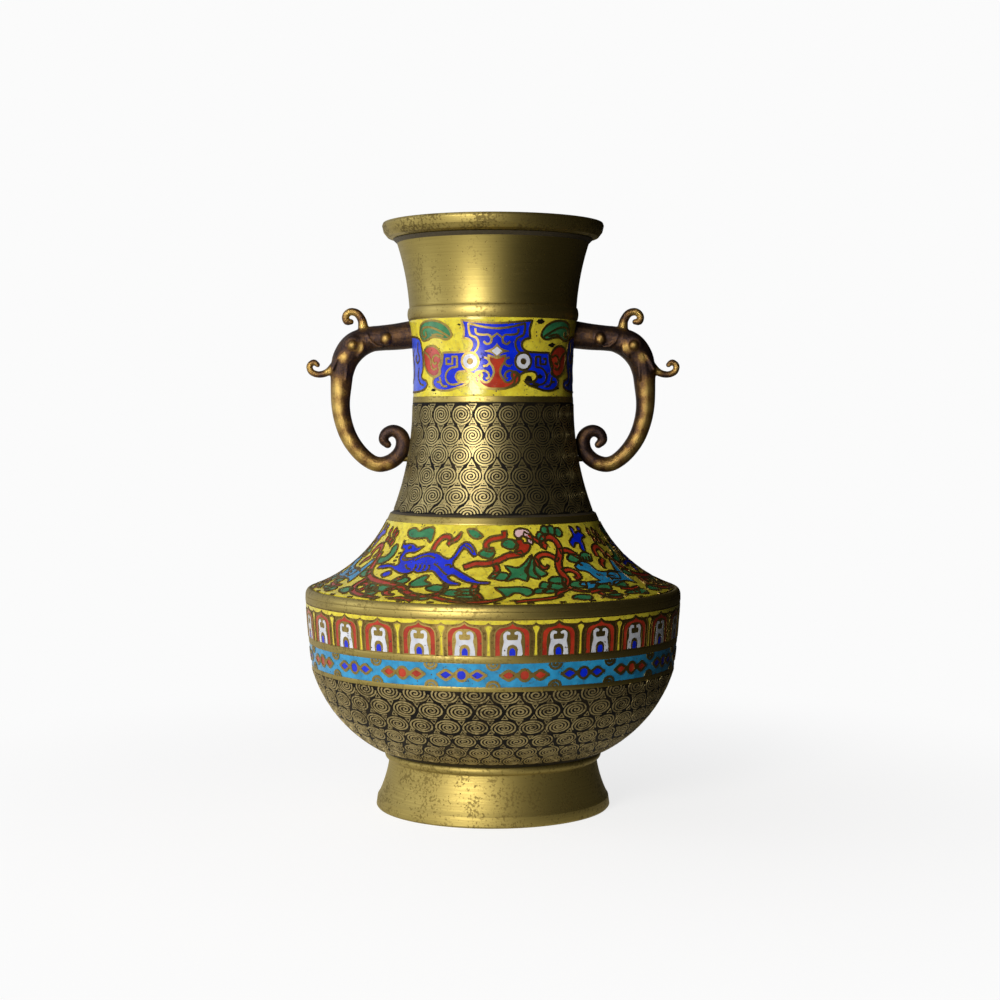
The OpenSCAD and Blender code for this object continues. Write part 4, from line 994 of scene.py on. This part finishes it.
neck_drawn_r, neck_scroll_count = 45, 22
neck_pitch = 2 * math.pi * neck_drawn_r / neck_scroll_count
neck_rows, neck_row_tall = (1.5, 10.6, 20.9, 31.1, 41.4, 51.8), 10.9
neck_lines = []
for row, height in enumerate(neck_rows):
    across = 2.0 + (row % 2) * neck_pitch / 2
    neck_lines.append(scroll(across, height, neck_pitch * 0.97, neck_row_tall, 4.0, 90 + 151 * row,
                             steps=50))
    for gap in (-1, 1):
        y = height + gap * 3.3
        for size in (1.0, 0.42):
            neck_lines.append([(across + neck_pitch / 2 + dx * size, y + gap * dy * size)
                               for dx, dy in ((-2.0, 1.9), (2.0, 1.9), (0, -1.6), (-2.0, 1.9))])
neck_scrolls = laid("neck_scrolls", lines_mesh("neck_scrolls", neck_lines, low=0.9, high=57),
                    neck_side, neck_z, neck_drawn_r, scroll_brass, repeats=neck_scroll_count,
                    pitch=neck_pitch, width=1.0, height=0.32, unevenness=0.15)
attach(neck_scrolls, "root")

# ---- Masks on the neck ----
# Two broad beast masks in cobalt, red and white glass, one to the front and one to the back, with
# green horns above their ears and a lobed blue shape under each handle, all on a yellow ground.
neck_enamel_r = 42
cobalt_pale_glass = fired_enamel("pale_cobalt_enamel_fired", "#4A66E6", "#2B3FC4", grime=0.4)


head = shut(both_sides([
    (0, 3.4), (-5, 4.0), (-8.6, 6.4), (-9.6, 9.6), (-11.4, 10.6), (-16, 12.3), (-20.2, 11.9),
    (-21.6, 9.8), (-20.2, 7.6), (-17, 6.8), (-14.2, 7.4), (-14.2, 7.4), (-17, 5.4), (-21, 4.2),
    (-26, 2.9), (-31, 3.0), (-35, 4.4), (-36.6, 7.2), (-35, 9.6), (-32.6, 10.8), (-31, 14),
    (-29.6, 17.6), (-29, 21.8), (-29, 21.8), (-15.6, 22.2), (-12.9, 24.2), (-12.7, 26.6),
    (-14.4, 28.4), (-17, 28.9), (-17, 28.9), (-16.4, 33), (-17.6, 37.8), (-17.6, 37.8),
    (-9, 36.8), (0, 36.2)]))
beard = shut(both_sides([
    (0, 3.6), (5, 4.0), (9, 5.4), (11.2, 7.6), (11.4, 10), (9.9, 12), (8.2, 12), (7.4, 10.4),
    (8, 8.8), (6.8, 7.2), (4.9, 6.8), (3.0, 8.6), (1.6, 11.4), (2.0, 14), (3.8, 17), (4.3, 20.2),
    (4.3, 20.2), (0, 18.9), (0, 18.9)]))
star = shut(both_sides([(0, 18.5), (0, 18.5), (2.2, 20.9), (6.6, 22.3), (6.6, 22.3), (2.2, 23.8),
                        (0, 26.2), (0, 26.2)]), step=0.6)
gem = [(0, 20.1), (2.7, 22.3), (0, 24.5), (-2.7, 22.3)]
ear = shut([(-31, 11.6), (-31.9, 15.4), (-30.4, 18), (-31, 22), (-34.6, 25), (-40, 25),
            (-43.6, 22.4), (-43.4, 17), (-41.2, 12.6), (-37.2, 10.2), (-33.4, 10)])
horn = shut([(-23.4, 30.4), (-25.4, 34.6), (-31, 37.6), (-39, 38), (-44.6, 35.6), (-46, 31.6),
             (-44, 28.4), (-40, 28.4), (-36, 29.8), (-31, 29.4), (-26.4, 28.4)])
side_mask = shut(both_sides([
    (0, 2.4), (14, 2.4), (22.4, 3.7), (24.7, 6), (23.4, 7.9), (20.4, 8.7), (18.9, 10.2), (20.2, 13),
    (20.8, 17), (20.4, 24), (18.4, 29), (10, 30.6), (0, 30.6)]))


def eyes(radius):
    """A disc of each eye of a mask."""
    return [round_cell(x, 17.3, radius) for x in (-13.7, 13.7)]


yellow_band = ground("neck_ground", band_side, enamel_z, enamel_top_z, yellow_glass)
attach(yellow_band, "root")
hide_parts("neck_ground_enamel")
mask_turn, half_round = 2.7, math.pi * neck_enamel_r
neck_parts = (
    ("neck_masks_blue", cobalt_glass, [head], 0.0, mask_turn, "cobalt_enamel", ["neck_masks_blue"]),
    ("neck_masks_red", red_glass, [beard, ear, mirrored(ear)], 0.04, mask_turn, "red_enamel",
     ["neck_masks_red"]),
    ("neck_masks_brass", wall_brass, [star, *eyes(5.0)], 0.1, mask_turn, "polished_brass", []),
    ("neck_masks_white", white_glass, [gem, *eyes(3.7)], 0.14, mask_turn, "white_enamel",
     ["neck_masks_white"]),
    ("neck_masks_pupils", dark_wall_brass, eyes(1.6), 0.2, mask_turn, "polished_brass", []),
    ("neck_horns_green", green_glass, [horn, mirrored(horn)], 0.04, mask_turn, "green_enamel",
     ["neck_horns_green"]),
    ("neck_pendants_blue", cobalt_pale_glass, [side_mask], 0.0, mask_turn + 90, "cobalt_enamel",
     ["neck_pendants_blue"]))
for name, finish, outlines, lift, turn, slot, nodes in neck_parts:
    cells = laid(name, cells_mesh(name, outlines, lift, grid=2.2), band_side, enamel_z,
                 neck_enamel_r, finish, repeats=2, pitch=half_round, turn=turn, lines=False)
    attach(cells, "root")
    if nodes:
        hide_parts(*nodes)

mask_left = [
    drawn([(-14, 36.2), (-13.9, 33), (-13.2, 30.4), (-10.2, 28.8), (-9.2, 26.2), (-10, 23.4),
           (-11.6, 21.4)]),
    drawn([(-10.6, 33.6), (-10.2, 31.2), (-7, 30.4), (-4.2, 30.4), (-2.7, 28.6), (-3.3, 26.4),
           (-5.2, 25.8), (-6.6, 27.2)]),
    drawn([(-25, 18.8), (-25, 18.8), (-27, 18.8), (-27, 18.8), (-27, 16), (-27, 16), (-23.4, 16),
           (-23.4, 16), (-23.4, 19.7), (-23.4, 19.7), (-20.7, 19.7), (-20.7, 19.7), (-20.7, 14.6),
           (-20.7, 14.6), (-24.4, 14), (-27, 11.8), (-27.6, 9), (-25.8, 6.4), (-22, 5.8),
           (-17.4, 7.2)], step=0.6),
    drawn([(-33.6, 7.2), (-31.2, 7), (-29.4, 5.2), (-26.6, 4.9)]), drawn([(-31.6, 9.6), (-30.6, 7)]),
    drawn([(-6.4, 19.2), (-4.6, 18.4), (-3.8, 16.6), (-5, 15.2), (-7, 14.8)]),
    drawn([(-10.6, 9.6), (-9, 11.8), (-6.6, 12.6), (-4.4, 11.4), (-4.2, 9.2), (-5.6, 8.6)]),
    drawn([(-31.4, 19.4), (-33.2, 20.6), (-35.6, 20), (-36.4, 17.8), (-35, 16.2), (-33.4, 17)]),
    drawn([(-43.4, 22.6), (-40, 20.8), (-37.8, 18), (-37.6, 15.2), (-35.8, 13.4), (-33.4, 14.2)]),
    drawn([(-25, 29.8), (-29, 32), (-33, 33.8), (-38, 34.9), (-42.8, 34.2), (-44, 31.6),
           (-42.2, 29.8), (-40.2, 30.8), (-40.8, 32.6)]),
    drawn([(-36, 30.6), (-32, 31), (-28, 30)])]
mask_middle = [drawn([(-14, 36.2), (-14, 36.2), (-7, 34.4), (0, 33.6), (7, 34.4), (14, 36.2),
                      (14, 36.2)]),
               [(-2.6, 29), (0, 31), (2.6, 29)]]
outlines = [head, beard, ear, mirrored(ear), horn, mirrored(horn)]
mask_walls = laid(
    "mask_walls",
    lines_mesh("mask_walls", [ring(o) for o in outlines] + mask_middle + mask_left
               + [mirrored(line) for line in mask_left]),
    band_side, enamel_z, neck_enamel_r, wall_brass, repeats=2, pitch=half_round, turn=mask_turn,
    width=1.55, height=0.28, unevenness=0.15)
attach(mask_walls, "root")


def ragged(x, y, wide, tall, steps=18):
    """A patch with a broken edge."""
    edges = [0.75 + 0.5 * noise.noise(Vector((x, y, i * 0.8))) for i in range(steps)]
    return [(x + wide * edge * math.cos(2 * math.pi * i / steps),
             y + tall * edge * math.sin(2 * math.pi * i / steps)) for i, edge in enumerate(edges)]


# Where glass has broken out of the front mask, the floor of the channel shows, brown and matt
losses = laid("enamel_losses", cells_mesh("enamel_losses", [
    ragged(*p) for p in ((22.4, 37.2, 3.2, 1.9), (30.6, 25.8, 3.2, 1.4), (16.4, 8.2, 3.2, 2.2),
                         (20.8, 5.6, 3.0, 1.4), (23.4, 9.8, 2.2, 1.3), (-19, 35.6, 1.2, 0.6),
                         (35, 4.2, 2.6, 0.9), (-36, 3.2, 2.2, 0.8))], 0.17),
              band_side, enamel_z, neck_enamel_r, ground_black, turn=mask_turn, lines=False)
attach(losses, "root")
side_lines = [ring(side_mask),
              *[line for s in (-1, 1) for line in (
                  drawn([(s * 16.4, 27.6), (s * 15.4, 23), (s * 17.2, 19.4), (s * 14, 17),
                         (s * 11.6, 19.4), (s * 13.6, 21)]),
                  drawn([(s * 16, 14.6), (s * 14.6, 10), (s * 17.4, 6.6), (s * 21.4, 5.6)]),
                  drawn([(s * 9, 24), (s * 6, 20), (s * 8, 14), (s * 4, 9), (0, 7)]))]]
side_walls = laid("side_walls", lines_mesh("side_walls", side_lines), band_side, enamel_z,
                  neck_enamel_r, dark_wall_brass, repeats=2, pitch=half_round,
                  turn=mask_turn + 90, width=1.4, height=0.26, unevenness=0.2)
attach(side_walls, "root")

# ---- Collar, cup and lip ----
# Three turned brass castings: a half-round collar, a plain flaring cup and a thick flat-topped
# lip, soldered one on the other. The cup is wiped bright; the solder under the lip is rough.
cup_top_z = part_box("mouth_cup")[1].z / MM
lip_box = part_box("lip_ring")
lip_r, top_z = lip_box[1].x / MM, lip_box[1].z / MM
collar_bore_r, cup_top_r, lip_bore_r = 42.2, 50.3, 46.6
collar_side = arc_of((neck_top_r + 0.1, collar_z), (neck_top_r + 0.1, collar_top_z), 0.6)
collar = turned("collar_turned", [
    *flank(collar_side, collar_z, collar_top_z, 10), (collar_bore_r, collar_top_z),
    (collar_bore_r, collar_z)], turned_brass)
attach(collar, "root")
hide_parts("collar_ring")
cup_side = arc_of((neck_top_r - 0.3, collar_top_z), (cup_top_r, cup_top_z), -1.2)
wiped_brass = cast_brass("wiped_cast_brass", "#B1A05C", "#574A2A", age=0.4, rough=0.37, scratch=0.2)
cup = turned("mouth_cup_turned", [
    *flank(cup_side, collar_top_z, cup_top_z, 30),
    *reversed(flank(cup_side, collar_top_z, cup_top_z, 24, wall))], wiped_brass)
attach(cup, "root")
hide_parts("mouth_cup")
lip = turned("lip_turned", [
    (cup_top_r, cup_top_z), (cup_top_r + 4.3, cup_top_z + 1.2), (lip_r - 0.8, cup_top_z + 3.7),
    (lip_r, top_z - 1.6), (lip_r - 0.5, top_z), (lip_bore_r + 1.8, top_z), (lip_bore_r, top_z - 1.6),
    (lip_bore_r, cup_top_z - 3), (lip_bore_r + 0.8, cup_top_z - 3)],
             cast_brass("stained_lip_brass", brass_bright, "#41331C", age=0.72, rough=0.4,
                        scratch=0.2), corner=0.6)
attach(lip, "root")
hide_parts("lip_ring")
lumpy_solder = soft_solder("wiped_solder_seam", "#6E6450")
for node in ("neck_solder", "lip_solder"):
    coat(node, lumpy_solder)

# ---- Handles ----
# A pair of cast brass beast heads on curved necks that run down to a scrolled tail, riveted to the
# neck from inside. They are patinated dark brown and worn golden where hands and cloth rub them.
trunk = [(40.5, 242.8, 7.3), (50, 241.5, 6.9), (58, 240.8, 6.6), (64, 240, 6.7), (71.4, 236.6, 7.4),
         (76.1, 230.6, 7.0), (78.1, 223.5, 6.1), (78.6, 217.5, 5.6), (79, 206.8, 4.9),
         (77.7, 198, 4.6), (74.4, 189, 4.4), (69, 181.4, 4.2), (63.1, 176.6, 4.0),
         (58.3, 175.3, 4.0), (52.4, 177.1, 4.0), (47.9, 181.4, 4.0), (46.5, 186.4, 3.9),
         (47.8, 190.6, 3.6), (51.6, 192.8, 3.2), (55.4, 191.4, 2.9), (56.8, 188, 2.5),
         (54.6, 185.6, 2.0)]
crest = [(66, 240, 3.6), (67.2, 246, 2.8), (67.9, 250, 2.3), (70.4, 253.6, 2.1), (74, 254.4, 2.0),
         (76.4, 252.2, 1.9), (75.8, 249.4, 1.9), (73.6, 249.2, 1.5)]
snout = [(77, 231, 3.4), (81.6, 226.8, 2.6), (85.6, 223.2, 2.0), (90, 221.9, 1.75),
         (94, 223.2, 1.7), (95.1, 226.4, 1.65), (92.8, 228.4, 1.5), (90.9, 226.9, 1.35)]
lip_ridge = [(82.6, 224.6, 1.1), (80.2, 229.6, 1.2), (77.4, 232.4, 1.3), (75.6, 229.6, 1.2),
             (75.4, 224, 0.9), (75.8, 219, 0.5)]
brow = [(56.8, 236.2, 0.5), (60, 236.6, 0.75), (63, 239, 0.8), (64.6, 242.4, 0.5)]
cheek = [(69.6, 231.4, 0.9), (67.8, 234, 1.4), (67.4, 237.6, 1.5), (68.8, 240.2, 0.9)]


def bar(work, path, at_y, sides=18, flat=1.0):
    """A round bar of changing thickness along (x, z, radius) in millimetres, ends rounded."""
    line = drawn(path, step=0.7)
    hoops = []
    for i, (x, z, r) in enumerate(line):
        ahead = line[min(i + 1, len(line) - 1)] - line[max(i - 1, 0)]
        out = Vector((ahead[1], 0, -ahead[0])).normalized()
        spot = Vector((x, at_y, z))
        hoops.append([work.verts.new((spot + out * r * math.cos(a)
                                      + Vector((0, flat * r * math.sin(a), 0))) * MM)
                      for a in [2 * math.pi * k / sides for k in range(sides)]])
    for a, b in zip(hoops, hoops[1:]):
        for k in range(sides):
            work.faces.new((a[k], a[(k + 1) % sides], b[(k + 1) % sides], b[k]))
    work.faces.new(hoops[0][::-1])
    work.faces.new(hoops[-1])
    for x, z, r in (line[0], line[-1]):
        ball(work, x, at_y, z, r, flat)


def ball(work, x, y, z, r, flat=1.0, tall=1.0):
    """A ball with its own flatness across and upwards, for eyes and rounded ends."""
    made = bmesh.ops.create_icosphere(work, subdivisions=3, radius=1.0)["verts"]
    for vert in made:
        vert.co = Vector((x + vert.co.x * r, y + vert.co.y * r * flat, z + vert.co.z * r * tall)) * MM


handle_work = bmesh.new()
for path in (trunk, crest, snout):
    bar(handle_work, path, 0)
for y in (-1, 1):
    bar(handle_work, lip_ridge, y * 5.4, sides=12)
    bar(handle_work, brow, y * 6.3, sides=12)
    bar(handle_work, cheek, y * 6.2, sides=12, flat=0.8)
    ball(handle_work, 55.1, y * 6.3, 240.1, 2.8, 0.8, 1.2)
    ball(handle_work, 72, y * 6.1, 236.9, 5.2, 0.36)
    ball(handle_work, 72.3, y * 7.6, 236.8, 2.5, 0.8)
handle_mesh = bpy.data.meshes.new("handle_draft")
handle_work.to_mesh(handle_mesh)
handle_work.free()
handle_draft = added("handle_draft", handle_mesh)
fused = handle_draft.modifiers.new("fuse", "REMESH")
fused.mode, fused.voxel_size, fused.use_smooth_shade = "VOXEL", 0.45 * MM, True
eased = handle_draft.modifiers.new("ease", "SMOOTH")
eased.factor, eased.iterations = 0.5, 4
bpy.context.view_layer.update()
cast_handle = bpy.data.meshes.new_from_object(
    handle_draft.evaluated_get(bpy.context.evaluated_depsgraph_get()))
bpy.data.objects.remove(handle_draft)

# Rubbed places: x, z, reach in millimetres
rubbed = ((74, 252.6, 6), (67, 247, 4), (92.8, 225.4, 6), (86, 224, 4), (55.1, 240.1, 3.4),
          (72.3, 236.8, 3.6), (68, 236, 4), (77.4, 230.6, 3.6), (81, 214, 9), (82, 205, 9),
          (80, 196, 9), (76.5, 187, 9), (70, 180, 8), (62, 175, 7.5), (54, 174.5, 4))


def wear_of(x, y, z, nx, ny, nz):
    """How far the patina has gone at a point of the handle, from 0 to 1."""
    near = max(1 - math.hypot(x - cx, z - cz) / reach for cx, cz, reach in rubbed)
    facing = 0.6 + 0.3 * abs(ny) + 0.2 * nx - 0.1 * nz
    patchy = noise.noise(Vector((x, y, z)) * 0.22) + 0.6 * noise.noise(Vector((x, y, z)) * 0.8)
    return min(1.0, max(0.0, 0.04 + max(near, 0.0) * 0.9 * facing + 0.24 * patchy))


def patinated(name):
    """Cast brass under a chestnut-brown patina, orange and then bare gold where it is rubbed
    through, with a pocked casting skin. Pocks are about half a millimetre."""
    made, tree, shader = material(name)
    place = in_millimetres(tree)
    worn = put(tree, "ShaderNodeAttribute", attribute_name="wear")
    grain = put(tree, "ShaderNodeTexNoise", {"Vector": place, "Scale": 1 / 0.8, "Detail": 6.0,
                                            "Roughness": 0.75})
    broken = put(tree, "ShaderNodeMath", {0: grain, 1: 0.9, 2: -0.45}, operation="MULTIPLY_ADD")
    bare = put(tree, "ShaderNodeMath", {0: worn.outputs["Fac"], 1: broken}, operation="ADD")
    rust = put(tree, "ShaderNodeMapRange", {"Value": bare, "From Min": -0.05, "From Max": 0.45})
    gold = put(tree, "ShaderNodeMapRange", {"Value": bare, "From Min": 0.3, "From Max": 0.85})
    under = put(tree, "ShaderNodeMix", {0: rust, 6: linear("#33282A"), 7: linear("#76552F")},
                data_type="RGBA")
    colour = put(tree, "ShaderNodeMix", {0: gold, 6: under.outputs[2], 7: linear("#B79A55")},
                 data_type="RGBA")
    gloss = put(tree, "ShaderNodeMapRange", {"Value": gold, "To Min": 0.42, "To Max": 0.3})
    skin = put(tree, "ShaderNodeBump", {"Height": grain, "Strength": 0.7, "Distance": 0.0004})
    feed(tree, shader, {"Base Color": colour.outputs[2], "Metallic": 0.85, "Roughness": gloss,
                        "Normal": skin})
    return made


patina = patinated("chestnut_patinated_brass")
for side, suffix in ((1, "right"), (-1, "left")):
    mesh = cast_handle.copy()
    for vert in mesh.vertices:
        vert.co.x *= side
    handle = smoothed("handle_cast_" + suffix, mesh, crease=180)
    mesh = handle.data
    wear = mesh.attributes.new("wear", "FLOAT", "POINT")
    wear.data.foreach_set("value", [
        wear_of(v.co.x * side / MM, v.co.y / MM, v.co.z / MM, v.normal.x * side, v.normal.y,
                v.normal.z) for v in mesh.vertices])
    mesh.materials.clear()
    mesh.materials.append(patina)
    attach(handle, "root")
    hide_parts("handle_" + suffix)

# The rivets: brass pins through the neck's wall, their heads hammered down inside
coat("handle_rivets", dull_plate)
